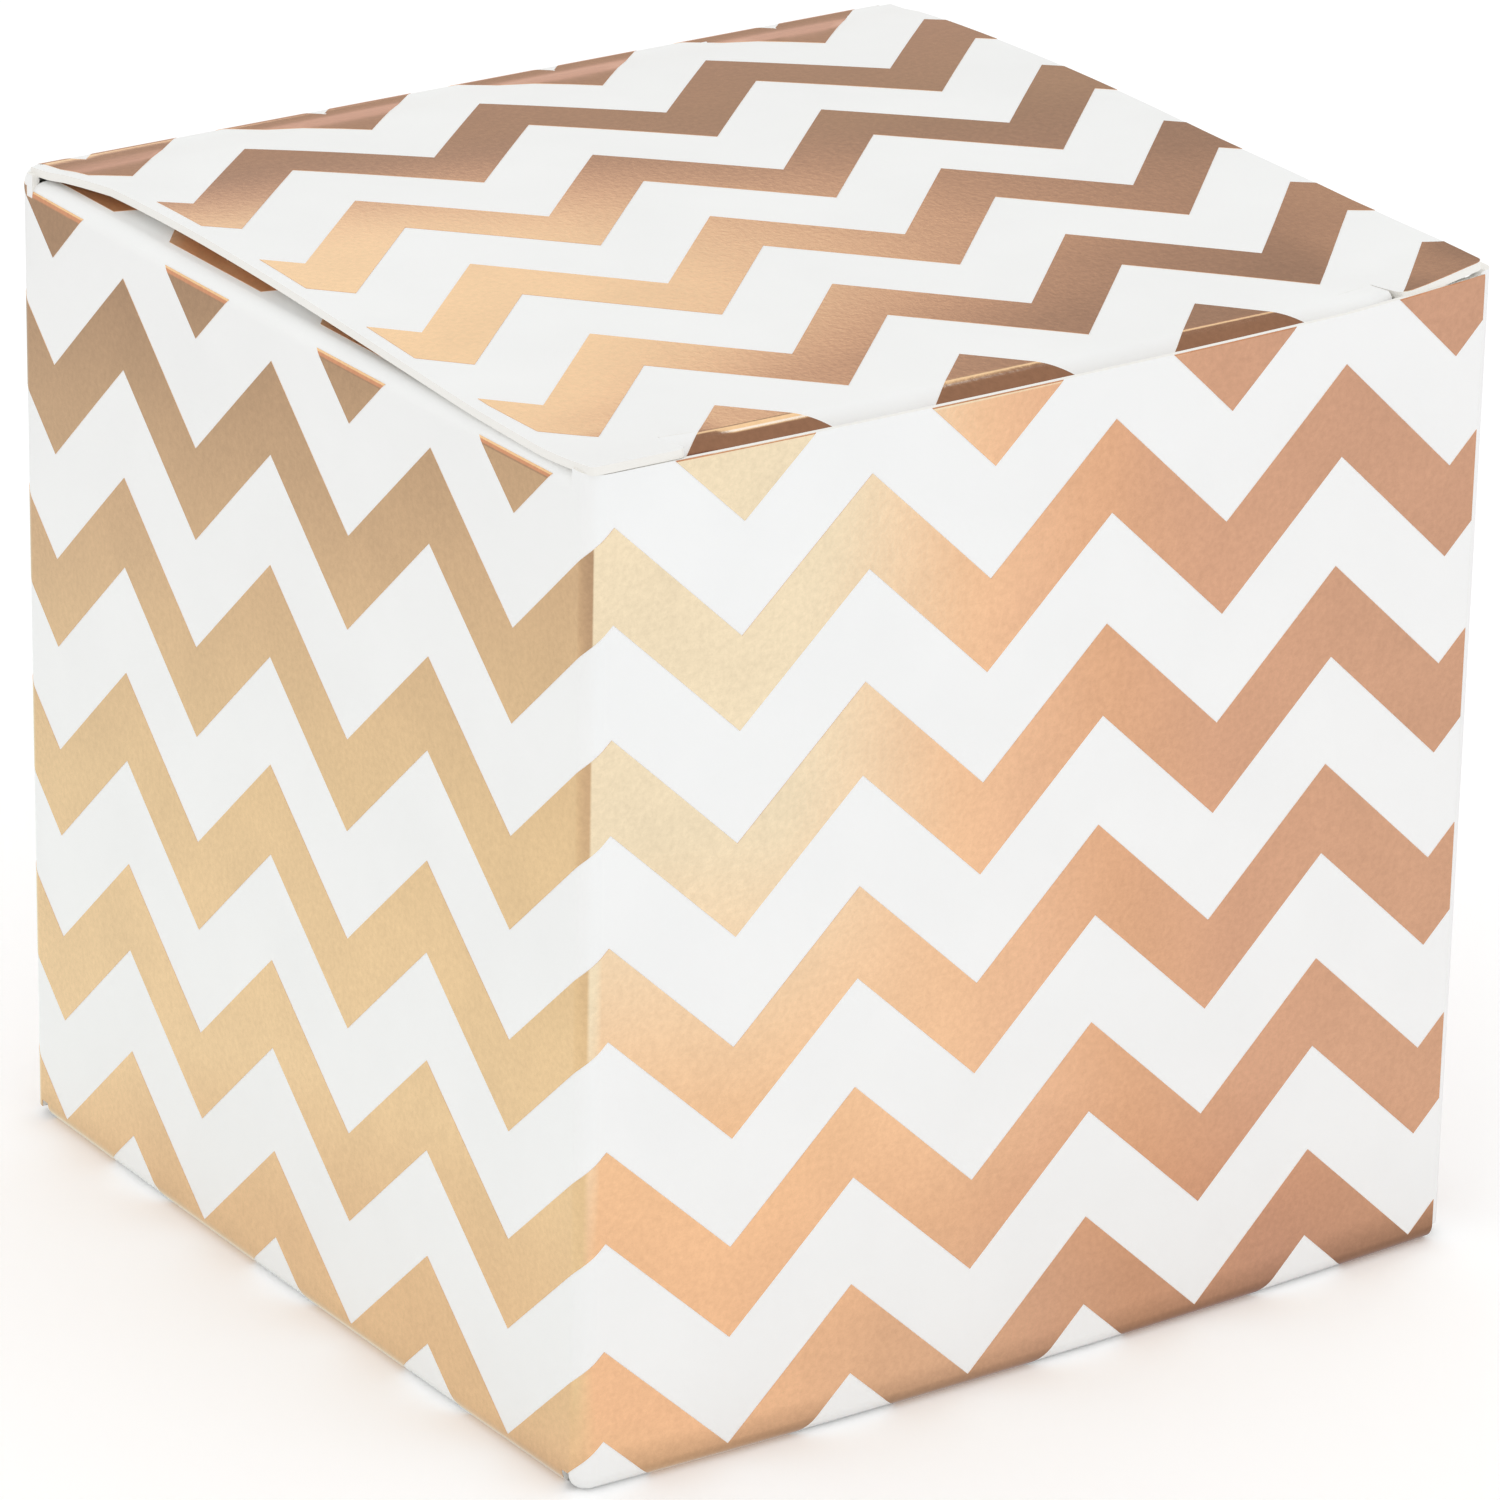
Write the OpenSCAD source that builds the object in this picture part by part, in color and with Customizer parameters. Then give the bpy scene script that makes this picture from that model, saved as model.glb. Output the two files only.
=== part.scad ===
// Small cube favor box folded from one sheet of white folding board.
// Its outside carries stamped metallic chevron stripes.
// The sleeve is four walls closed by a glued side seam. A hinged lid and a
// hinged base close it, each with a tuck flap and two dust flaps.
// Frame: +X to the right, +Y to the back, +Z up, origin under the middle.

/* [Box] */
// Width across the front, over the board
box_w = 50.8; // [30:0.1:120]
// Depth from the front wall to the back wall, over the board
box_d = 50.3; // [30:0.1:120]
// Height of the closed box up to the lid's board
box_h = 50.7; // [30:0.1:120]

/* [Board and foil] */
// Thickness of the folding board
board_t = 0.4; // [0.25:0.05:0.8]
// Thickness of the stamped foil, proud of the board
foil_t = 0.03; // [0.01:0.01:0.1]
// Outer radius of the four upright folds
fold_r = 0.9; // [0.6:0.05:2]
// Air between a turning crease and the end of the wall beside it
crease_air = 0.05; // [0.03:0.01:0.2]
// Air between the lid's shoulders and the front wall's rim
rim_air = 0.1; // [0.05:0.01:0.4]
// Air between a dust flap and the lid or base that covers it
flap_air = 0.12; // [0.05:0.01:0.5]

/* [Glued side seam] */
// Width of the glue flap behind the front wall's right edge
glue_flap_w = 10; // [6:0.5:16]
// How much each end of the glue flap tapers towards its free edge
glue_flap_taper = 3; // [1:0.5:6]
// Thickness of the dried glue
glue_t = 0.05; // [0.02:0.01:0.2]
// Bare margin of the glue flap around the glue
glue_margin = 1.2; // [0.5:0.1:3]
// How far the front wall's cut edge stops short of the right wall's face
seam_inset = 0.22; // [0:0.01:1]

/* [Lid and base] */
// Distance of a tuck crease behind the wall's outer face
tuck_crease_in = 1.25; // [1:0.05:3]
// Distance from a tuck crease to the edge of the panel it turns on
tuck_crease_gap = 0.35; // [0.3:0.01:0.8]
// Length of a tuck flap below its crease
tuck_len = 12.7; // [8:0.1:25]
// Width of the slit between a tuck flap and a lock shoulder
slit_w = 0.25; // [0.1:0.05:1]
// How much a tuck flap narrows at each side over its length
tuck_taper = 0.6; // [0:0.1:4]
// Radius of the tuck flap's free corners
tuck_corner_r = 5; // [1:0.5:9]
// Lean of a tuck flap from upright towards the middle of the box
tuck_lean = 6; // [3:0.5:12]
// Width of a lock shoulder, from the box's side to its slit
shoulder_w = 5.15; // [3:0.05:12]
// Radius of a lock shoulder's corners
shoulder_r = 0.5; // [0.1:0.1:2]
// Side clearance of the lid and base
side_gap = 0.1; // [0.05:0.05:1]
// Largest side clearance of the lid's left edge, near the back
relief_gap = 1.1; // [0.1:0.05:3]
// Where the lid's left edge starts to draw in, as a share of the depth
relief_start_share = 0.19; // [0.05:0.01:0.5]
// Where it has drawn in fully, as a share of the depth
relief_end_share = 0.86; // [0.6:0.01:0.95]
// Bare margin along the lid's left edge
bare_edge = 0.75; // [0:0.05:2]

/* [Dust flaps] */
// Distance between the tips of two opposite dust flaps
dust_tip_gap = 6.4; // [1:0.1:20]
// Distance of the ends of a dust flap's crease from the box faces
dust_root_inset = 1.45; // [1.2:0.05:4]
// Length of the wide part beside the crease
dust_step_len = 5; // [1:0.5:10]
// Distance of the front edge from the box face behind that step
dust_step_inset = 3.2; // [2.5:0.1:6]
// Distance of the front edge from the box face at the tip
dust_tip_inset = 6; // [3:0.5:15]
// Length gained for each unit of width given up at the hinge-side edge
dust_slope_share = 1.75; // [1:0.05:2]
// Radius of the tip's corners
dust_corner_r = 3; // [0.5:0.5:8]
// Bare strip of the dust flap beside its crease
dust_bare = 0.45; // [0:0.05:2]

/* [Chevron stripes] */
// Distance from one peak to the next
chevron_period = 13.64; // [6:0.01:40]
// Height of a peak over a valley
chevron_rise = 6.48; // [2:0.01:20]
// Distance from one stripe to the next
chevron_pitch = 10.13; // [4:0.01:30]
// Height of a foil stripe, measured upright
chevron_band = 4.61; // [2:0.01:20]
// First peak right of the front left corner
wall_first_peak = 1.25; // [0:0.01:14]
// Top of the first whole peak below the top of the walls
wall_first_top = 2.9; // [0:0.01:10]
// First peak of the lid right of its left edge
lid_first_peak = 3.04; // [0:0.01:14]
// First peak of the lid behind its front edge
lid_first_top = 3.95; // [0:0.01:10]

/* [Hidden] */
$fn = 64;

board_white = [0.94, 0.94, 0.94];
foil_rose = [0.84, 0.64, 0.48];
glue_cream = [0.9, 0.87, 0.76];

half_w = box_w / 2;
half_d = box_d / 2;
half_t = board_t / 2;
// The path over an upright fold is this much shorter than over a sharp corner.
fold_take = (2 - PI / 2) * fold_r;

// Heights of the wall ends. Front and back reach the lid and base, the side
// walls end below the dust flaps.
rim_low = foil_t + board_t + crease_air;
back_high = box_h - board_t - crease_air;
front_high = box_h - board_t - rim_air;
side_low = foil_t + 2 * board_t + flap_air + crease_air;
side_high = box_h - 2 * board_t - flap_air - crease_air;

// Heights of the crease axes.
lid_axis_z = box_h - half_t;
base_axis_z = foil_t + half_t;
top_dust_axis_z = lid_axis_z - board_t - flap_air;
bottom_dust_axis_z = base_axis_z + board_t + flap_air;

// First peak of each wall in its own left to right measure.
left_first_peak = wall_first_peak + box_d - fold_take;
back_first_peak = left_first_peak + box_w - fold_take;
right_first_peak = back_first_peak + box_d - fold_take;

notch_d = tuck_crease_in + tuck_crease_gap;
slit_half_w = half_w - shoulder_w;
tuck_half_w = slit_half_w - slit_w;
dust_len = half_w - half_t - dust_tip_gap / 2;

// Frames: x runs to the right and y up as each panel is seen from outside,
// z points out of its face, and y = 0 is the top of a wall.
module on_front() {
    translate([-half_w, -half_d, box_h])
        rotate([90, 0, 0])
            children();
}

module on_left() {
    translate([-half_w, half_d, box_h])
        rotate([90, 0, -90])
            children();
}

module on_back() {
    translate([half_w, half_d, box_h])
        rotate([90, 0, 180])
            children();
}

module on_right() {
    translate([half_w, -half_d, box_h])
        rotate([90, 0, 90])
            children();
}

// The lid is read with its front edge at the top, y = 0 at that edge.
module on_lid() {
    translate([half_w, -half_d, box_h])
        rotate([0, 0, 180])
            children();
}

// The base is read from below, y = 0 at the front edge.
module on_base() {
    translate([-half_w, -half_d, foil_t])
        rotate([180, 0, 0])
            children();
}

// Tuck flap frames start on the crease axis, z = 0 in the board's middle.
module on_lid_tuck() {
    translate([half_w, tuck_crease_in - half_d, lid_axis_z])
        rotate([90 + tuck_lean, 0, 0])
            rotate([0, 0, 180])
                children();
}

module on_base_tuck() {
    translate([-half_w, half_d - tuck_crease_in, base_axis_z])
        rotate([270 + tuck_lean, 0, 0])
            children();
}

// Dust flap frames start on the crease axis, z = 0 in the board's middle.
module on_top_left_dust() {
    translate([half_t - half_w, half_d, top_dust_axis_z])
        rotate([0, 0, -90])
            children();
}

module on_top_right_dust() {
    translate([half_w - half_t, -half_d, top_dust_axis_z])
        rotate([0, 0, 90])
            children();
}

module on_bottom_left_dust() {
    translate([half_t - half_w, half_d, bottom_dust_axis_z])
        rotate([0, 0, -90])
            rotate([180, 0, 0])
                children();
}

module on_bottom_right_dust() {
    translate([half_w - half_t, -half_d, bottom_dust_axis_z])
        rotate([0, 0, 90])
            rotate([180, 0, 0])
                children();
}

// Outline with round corners: p holds the points, r the radius at each.
function unit(a) = a / sqrt(a * a);
function before(p, i) = p[(i + len(p) - 1) % len(p)];
function after(p, i) = p[(i + 1) % len(p)];
function to_before(p, i) = unit(before(p, i) - p[i]);
function to_after(p, i) = unit(after(p, i) - p[i]);
function half_corner(p, i) = acos(to_before(p, i) * to_after(p, i)) / 2;
function arc_start(p, r, i) = p[i] + to_before(p, i) * r[i] / tan(half_corner(p, i));
function arc_end(p, r, i) = p[i] + to_after(p, i) * r[i] / tan(half_corner(p, i));
function arc_centre(p, r, i) =
    p[i] + unit(to_before(p, i) + to_after(p, i)) * r[i] / sin(half_corner(p, i));
function arc_point(p, r, i, share) =
    arc_centre(p, r, i) + r[i] * unit((arc_start(p, r, i) - arc_centre(p, r, i)) * (1 - share)
        + (arc_end(p, r, i) - arc_centre(p, r, i)) * share);

module round_outline(p, r) {
    polygon([for (i = [0 : len(p) - 1]) each (r[i] > 0 ? [arc_start(p, r, i), arc_end(p, r, i)] : [p[i]])]);
    for (i = [0 : len(p) - 1])
        if (r[i] > 0)
            translate(arc_centre(p, r, i))
                circle(r = r[i]);
}

// The same outline for a foil, its corners followed in short straight steps.
foil_corner_step = 1 / 8;
module foil_outline(p, r) {
    polygon([for (i = [0 : len(p) - 1])
        each (r[i] > 0 ? [for (s = [0 : foil_corner_step : 1]) arc_point(p, r, i, s)] : [p[i]])]);
}

// Chevron stripes over 0..width and from v_low to v_high below y = 0.
// peak_x is the x of any peak, top_v the depth of any stripe's top at a peak.
module chevrons(peak_x, top_v, width, v_low, v_high) {
    half_p = chevron_period / 2;
    i_low = floor(-peak_x / half_p) - 1;
    i_high = ceil((width - peak_x) / half_p) + 1;
    k_low = ceil((v_low - top_v - chevron_rise - chevron_band) / chevron_pitch);
    k_high = floor((v_high - top_v) / chevron_pitch);
    for (k = [k_low : k_high])
        polygon(concat(
            [for (i = [i_low : i_high]) [peak_x + i * half_p, stripe_y(i, k, top_v)]],
            [for (i = [i_high : -1 : i_low]) [peak_x + i * half_p, stripe_y(i, k, top_v) - chevron_band]]));
}

function stripe_y(i, k, top_v) = -top_v - k * chevron_pitch - (i % 2 == 0 ? 0 : chevron_rise);

// Flat sheet of a wall between two x and two heights.
module wall_area(x_low, x_high, z_low, z_high) {
    translate([x_low, z_low - box_h])
        square([x_high - x_low, z_high - z_low]);
}

module board(height = board_t) {
    translate([0, 0, -height])
        linear_extrude(height = height)
            children();
}

module foil() {
    linear_extrude(height = foil_t)
        intersection() {
            children(0);
            children(1);
        }
}

// Upright quarter fold: a quarter tube between two heights around its centre,
// turned so that it starts at the given angle.
module quarter_tube(r_out, thickness, turn, z_low, z_high) {
    translate([0, 0, z_low])
        rotate([0, 0, turn])
            linear_extrude(height = z_high - z_low)
                intersection() {
                    difference() {
                        circle(r = r_out);
                        circle(r = r_out - thickness);
                    }
                    square([r_out, r_out]);
                }
}

// Foil of an upright fold: the stripes are seen square on to the fold and
// drawn in so that they meet the stripes of both flat walls.
module fold_foil(corner, turn, peak_x, z_low, z_high) {
    chord_share = sqrt(2) / (PI / 2);
    translate([corner[0], corner[1], 0])
        intersection() {
            quarter_tube(fold_r + foil_t, foil_t, turn, z_low, z_high);
            rotate([0, 0, turn + 45])
                translate([fold_r / 2, 0, box_h])
                    rotate([90, 0, 90])
                        linear_extrude(height = fold_r)
                            scale([chord_share, 1])
                                chevrons(peak_x, wall_first_top, fold_r, 0, box_h);
        }
}

// Half the arc of a fold, the distance from its middle to the flat walls.
half_arc = PI / 4 * fold_r;

// Sleeve walls. Each one carries the upright fold at its right-hand end, the
// glue flap carries the fold it shares with the right wall.
module front_wall() {
    color(board_white)
        on_front()
            board()
                wall_area(fold_r, box_w - seam_inset, rim_low, front_high);
}

module left_wall() {
    color(board_white) {
        on_left()
            board()
                wall_area(fold_r, box_d - fold_r, side_low, side_high);
        translate([fold_r - half_w, fold_r - half_d, 0])
            quarter_tube(fold_r, board_t, 180, rim_low, front_high);
    }
}

module back_wall() {
    color(board_white) {
        on_back()
            board()
                wall_area(fold_r, box_w - fold_r, rim_low, back_high);
        translate([fold_r - half_w, half_d - fold_r, 0])
            quarter_tube(fold_r, board_t, 90, rim_low, back_high);
    }
}

module right_wall() {
    color(board_white) {
        on_right()
            board()
                wall_area(board_t + glue_t + fold_r, box_d - fold_r, side_low, side_high);
        translate([half_w - fold_r, half_d - fold_r, 0])
            quarter_tube(fold_r, board_t, 0, rim_low, back_high);
    }
}

module glue_flap() {
    root_x = box_w - fold_r;
    free_x = root_x - glue_flap_w;
    color(board_white) {
        translate([0, board_t + glue_t, 0])
            on_front()
                board()
                    polygon([[root_x, side_low - box_h], [root_x, side_high - box_h],
                        [free_x, side_high - glue_flap_taper - box_h],
                        [free_x, side_low + glue_flap_taper - box_h]]);
        translate([half_w - fold_r, board_t + glue_t + fold_r - half_d, 0])
            quarter_tube(fold_r, board_t, 270, side_low, side_high);
    }
}

// Dried glue between the glue flap and the back of the front wall.
module seam_glue() {
    z_low = side_low + glue_flap_taper + glue_margin;
    z_high = side_high - glue_flap_taper - glue_margin;
    x_high = box_w - fold_r - glue_margin;
    x_low = box_w - fold_r - glue_flap_w + glue_margin;
    color(glue_cream)
        translate([0, board_t + glue_t, 0])
            on_front()
                linear_extrude(height = glue_t)
                    wall_area(x_low, x_high, z_low, z_high);
}

// Foil of the sleeve, one set of stripes per wall.
module front_foil() {
    color(foil_rose)
        on_front()
            foil() {
                wall_area(fold_r, box_w - seam_inset, rim_low, front_high);
                chevrons(wall_first_peak, wall_first_top, box_w, 0, box_h);
            }
}

module left_foil() {
    color(foil_rose) {
        on_left()
            foil() {
                wall_area(fold_r, box_d - fold_r, side_low, side_high);
                chevrons(left_first_peak, wall_first_top, box_d, 0, box_h);
            }
        fold_foil([fold_r - half_w, fold_r - half_d], 180,
            wall_first_peak - fold_r + half_arc, rim_low, front_high);
    }
}

module back_foil() {
    color(foil_rose) {
        on_back()
            foil() {
                wall_area(fold_r, box_w - fold_r, rim_low, back_high);
                chevrons(back_first_peak, wall_first_top, box_w, 0, box_h);
            }
        fold_foil([fold_r - half_w, half_d - fold_r], 90,
            left_first_peak - fold_r + half_arc, rim_low, back_high);
    }
}

module right_foil() {
    color(foil_rose) {
        on_right()
            foil() {
                wall_area(board_t + glue_t + fold_r, box_d - fold_r, side_low, side_high);
                chevrons(right_first_peak, wall_first_top, box_d, 0, box_h);
            }
        fold_foil([half_w - fold_r, half_d - fold_r], 0,
            back_first_peak - fold_r + half_arc, rim_low, back_high);
    }
}

// Round bead of a turning crease along x, from one x to another.
module crease_bead(x_low, x_high) {
    translate([x_low, 0, 0])
        rotate([0, 90, 0])
            cylinder(r = half_t, h = x_high - x_low);
}

// Outline of the lid or base as [x, distance from its tuck side]: two lock
// shoulders outside the slits, a notch for the tuck crease between them.
function plate_points(far_gap, draw_in) = [
    [side_gap, 0],
    [half_w - slit_half_w, 0],
    [half_w - slit_half_w, notch_d],
    [half_w + slit_half_w, notch_d],
    [half_w + slit_half_w, 0],
    [box_w - far_gap, 0],
    [box_w - far_gap, relief_start_share * box_d],
    [box_w - draw_in, relief_end_share * box_d],
    [box_w - far_gap, box_d - half_t],
    [side_gap, box_d - half_t]];
plate_radii = [shoulder_r, shoulder_r, 0, 0, shoulder_r, shoulder_r, 0, 0, 0, 0];

lid_points = [for (q = plate_points(side_gap, relief_gap)) [q[0], -q[1]]];
base_points = [for (q = plate_points(side_gap, side_gap)) [q[0], q[1] - box_d]];

module lid_panel() {
    color(board_white)
        on_lid() {
            board()
                round_outline(lid_points, plate_radii);
            translate([0, half_t - box_d, -half_t])
                crease_bead(side_gap, box_w - side_gap);
        }
}

module lid_foil() {
    start = relief_start_share * box_d;
    color(foil_rose)
        on_lid()
            foil() {
                intersection() {
                    foil_outline(lid_points, plate_radii);
                    polygon([[0, 0], [box_w - bare_edge / 2, 0], [box_w - bare_edge, -start],
                        [box_w - relief_gap - bare_edge, -relief_end_share * box_d],
                        [box_w - relief_gap - bare_edge, -box_d], [0, -box_d]]);
                }
                chevrons(box_w - lid_first_peak, lid_first_top, box_w, 0, box_d);
            }
}

// Outline of a tuck flap from its crease at y = 0 towards +y.
tuck_points = [[half_w - tuck_half_w, 0], [half_w + tuck_half_w, 0],
    [half_w + tuck_half_w - tuck_taper, tuck_len],
    [half_w - tuck_half_w + tuck_taper, tuck_len]];
tuck_radii = [0, 0, tuck_corner_r, tuck_corner_r];

module tuck_board() {
    translate([0, 0, half_t])
        board()
            children();
    crease_bead(half_w - tuck_half_w, half_w + tuck_half_w);
}

module lid_tuck_flap() {
    color(board_white)
        on_lid_tuck()
            tuck_board()
                round_outline(tuck_points, tuck_radii);
}

module lid_tuck_foil() {
    color(foil_rose)
        on_lid_tuck()
            translate([0, 0, half_t])
                foil() {
                    foil_outline(tuck_points, tuck_radii);
                    translate([0, tuck_crease_in])
                        chevrons(box_w - lid_first_peak, lid_first_top, box_w,
                            -tuck_len - tuck_crease_in, tuck_crease_in);
                }
}

// Outline of a dust flap from its crease at y = 0 towards +y. The end at
// x = 0 lies beside the hinge of the lid or base that covers it.
dust_points = [
    [dust_root_inset, 0],
    [box_d - dust_root_inset, 0],
    [box_d - dust_root_inset, dust_step_len],
    [box_d - dust_step_inset, dust_step_len],
    [box_d - dust_tip_inset, dust_len],
    [dust_root_inset + dust_len / dust_slope_share, dust_len]];
dust_radii = [0, 0, dust_corner_r / 3, 0, dust_corner_r, dust_corner_r];

function dust_side(hinge_first, side) =
    [for (q = dust_points) [hinge_first ? q[0] : box_d - q[0], side * q[1]]];

module dust_board(hinge_first, side) {
    translate([0, 0, half_t])
        board()
            round_outline(dust_side(hinge_first, side), dust_radii);
    crease_bead(dust_root_inset, box_d - dust_root_inset);
}

// Stripes of a dust flap run on from its wall, after a bare strip at the
// crease. wall_y is where the wall's own measure has its crease.
module dust_foil(hinge_first, side, peak_x, wall_y) {
    bare_y = side > 0 ? dust_bare : -dust_len;
    translate([0, 0, half_t])
        foil() {
            intersection() {
                foil_outline(dust_side(hinge_first, side), dust_radii);
                translate([0, bare_y])
                    square([box_d, dust_len - dust_bare]);
            }
            translate([0, wall_y])
                chevrons(peak_x, wall_first_top, box_d, wall_y - dust_len, wall_y + dust_len);
        }
}

module top_left_dust_flap() {
    color(board_white)
        on_top_left_dust()
            dust_board(true, 1);
}

module top_left_dust_foil() {
    color(foil_rose)
        on_top_left_dust()
            dust_foil(true, 1, left_first_peak, 0);
}

module top_right_dust_flap() {
    color(board_white)
        on_top_right_dust()
            dust_board(false, 1);
}

module top_right_dust_foil() {
    color(foil_rose)
        on_top_right_dust()
            dust_foil(false, 1, right_first_peak, 0);
}

module base_panel() {
    color(board_white)
        on_base() {
            board()
                round_outline(base_points, plate_radii);
            translate([0, -half_t, -half_t])
                crease_bead(side_gap, box_w - side_gap);
        }
}

// The base's stripes run on from the front wall. The box stands on them.
module base_foil() {
    color(foil_rose)
        on_base()
            foil() {
                foil_outline(base_points, plate_radii);
                chevrons(wall_first_peak, wall_first_top - box_h, box_w, 0, box_d);
            }
}

module base_tuck_flap() {
    color(board_white)
        on_base_tuck()
            tuck_board()
                mirror([0, 1, 0])
                    round_outline(tuck_points, tuck_radii);
}

module base_tuck_foil() {
    crease_v = box_d - tuck_crease_in;
    color(foil_rose)
        on_base_tuck()
            translate([0, 0, half_t])
                foil() {
                    mirror([0, 1, 0])
                        foil_outline(tuck_points, tuck_radii);
                    translate([0, crease_v])
                        chevrons(wall_first_peak, wall_first_top - box_h, box_w,
                            crease_v - tuck_crease_in, crease_v + tuck_len);
                }
}

module bottom_left_dust_flap() {
    color(board_white)
        on_bottom_left_dust()
            dust_board(false, -1);
}

module bottom_left_dust_foil() {
    color(foil_rose)
        on_bottom_left_dust()
            dust_foil(false, -1, left_first_peak, box_h);
}

module bottom_right_dust_flap() {
    color(board_white)
        on_bottom_right_dust()
            dust_board(true, -1);
}

module bottom_right_dust_foil() {
    color(foil_rose)
        on_bottom_right_dust()
            dust_foil(true, -1, right_first_peak, box_h);
}

front_wall();
left_wall();
back_wall();
right_wall();
glue_flap();
seam_glue();
front_foil();
left_foil();
back_foil();
right_foil();
lid_panel();
lid_foil();
lid_tuck_flap();
lid_tuck_foil();
top_left_dust_flap();
top_left_dust_foil();
top_right_dust_flap();
top_right_dust_foil();
base_panel();
base_foil();
base_tuck_flap();
base_tuck_foil();
bottom_left_dust_flap();
bottom_left_dust_foil();
bottom_right_dust_flap();
bottom_right_dust_foil();
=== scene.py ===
"""Looks of a cube favor box: white folding board with hot-stamped rose gold
chevrons, standing closed. Lengths are in millimetres until a mesh is written."""
import math

import bmesh
import bpy
import numpy as np
from mathutils import Matrix, Vector


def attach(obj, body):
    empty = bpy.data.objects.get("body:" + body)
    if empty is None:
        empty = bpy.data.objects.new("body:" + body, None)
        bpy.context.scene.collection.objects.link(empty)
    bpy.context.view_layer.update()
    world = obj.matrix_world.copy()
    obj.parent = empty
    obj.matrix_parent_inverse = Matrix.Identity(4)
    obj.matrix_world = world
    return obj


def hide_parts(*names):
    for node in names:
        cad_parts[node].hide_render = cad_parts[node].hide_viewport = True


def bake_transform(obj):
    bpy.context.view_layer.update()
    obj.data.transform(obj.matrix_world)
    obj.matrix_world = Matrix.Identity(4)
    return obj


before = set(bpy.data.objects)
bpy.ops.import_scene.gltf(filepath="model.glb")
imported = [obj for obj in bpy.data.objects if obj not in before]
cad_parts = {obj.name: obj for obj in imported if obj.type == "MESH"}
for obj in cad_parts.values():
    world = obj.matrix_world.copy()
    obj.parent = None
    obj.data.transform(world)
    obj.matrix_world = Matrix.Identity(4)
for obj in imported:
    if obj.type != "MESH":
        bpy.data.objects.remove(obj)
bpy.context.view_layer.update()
MM = 0.001

# Camera. A long lens from the front left, above the lid, turned a little
# about its own axis, as fitted to the corners of the box in the photograph.


def new_object(name, data):
    """A new object in the scene."""
    thing = bpy.data.objects.new(name, data)
    bpy.context.scene.collection.objects.link(thing)
    return thing


azimuth, elevation, tilt = (math.radians(a) for a in (35.06, 22.48, 1.11))
CAMERA_TARGET = Vector((1.06, 0.0, 22.82)) * MM
CAMERA_DISTANCE = 394 * MM
camera = new_object("camera", bpy.data.cameras.new("camera"))
camera.data.sensor_width = 36
camera.data.lens = 192
camera.data.clip_start = 0.01
camera.data.clip_end = 50
backwards = Vector((-math.sin(azimuth) * math.cos(elevation),
                    -math.cos(azimuth) * math.cos(elevation),
                    math.sin(elevation)))
level_right = Vector((0, 0, 1)).cross(backwards).normalized()
level_up = backwards.cross(level_right)
camera_right = level_right * math.cos(tilt) + level_up * math.sin(tilt)
camera_up = level_up * math.cos(tilt) - level_right * math.sin(tilt)
camera.matrix_world = Matrix.Translation(CAMERA_TARGET + backwards * CAMERA_DISTANCE) @ Matrix(
    (camera_right, camera_up, backwards)).transposed().to_4x4()
bpy.context.scene.camera = camera

# Studio. A white sweep under an even white sky, as in a light tent. Foil is a
# mirror, and glossy rays alone see a painted room: painted reflections of a light
# panel overhead and of light lying on the table.


def add(tree, kind, settings=None, **links):
    """Adds a node: settings are its properties, links its inputs by name, where
    _ stands for a blank, and __ with a number picks between equal names. A node
    given to an input stands for its first output in use."""
    node = tree.nodes.new(kind)
    for key, value in (settings or {}).items():
        setattr(node, key, value)
    for name, value in links.items():
        name, _, which = name.partition("__")
        found = [s for s in node.inputs
                 if s.enabled and s.name.replace(" ", "_") == name]
        socket = found[int(which or 0)]
        if isinstance(value, bpy.types.Node):
            value = next(s for s in value.outputs if s.enabled)
        if isinstance(value, bpy.types.NodeSocket):
            tree.links.new(value, socket)
        else:
            socket.default_value = value
    return node


def new_tree(owner):
    """Empty node tree of a world or material."""
    owner.use_nodes = True
    owner.node_tree.nodes.clear()
    return owner.node_tree


def tones(tree, value, span, *stops):
    """Colour or weight that changes with a value, from stops (value, colour or
    weight) within a span (low, high)."""
    low, high = span
    place = add(tree, "ShaderNodeMapRange", Value=value, From_Min=low, From_Max=high)
    node = add(tree, "ShaderNodeValToRGB", Fac=place)
    elements = node.color_ramp.elements
    for k, (at, given) in enumerate(stops):
        spot = elements[k] if k < 2 else elements.new(1.0)
        spot.position = (at - low) / (high - low)
        spot.color = (*given, 1.0) if isinstance(given, tuple) else (given, given, given, 1.0)
    return node


WHITE = (1.0, 1.0, 1.0, 1.0)
BLACK = (0.0, 0.0, 0.0, 1.0)
UNIT, NEAR = (0.0, 1.0), (-0.05, 0.05)  # spans of tones
MINUS, TIMES = {"operation": "SUBTRACT"}, {"operation": "MULTIPLY"}
BLENDED = {"data_type": "RGBA"}
MULTIPLIED = {"data_type": "RGBA", "blend_type": "MULTIPLY"}
world = bpy.data.worlds.new("white_tent")
bpy.context.scene.world = world
tree = new_tree(world)
ray = add(tree, "ShaderNodeLightPath")
way = add(tree, "ShaderNodeTexCoord").outputs["Generated"]
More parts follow.
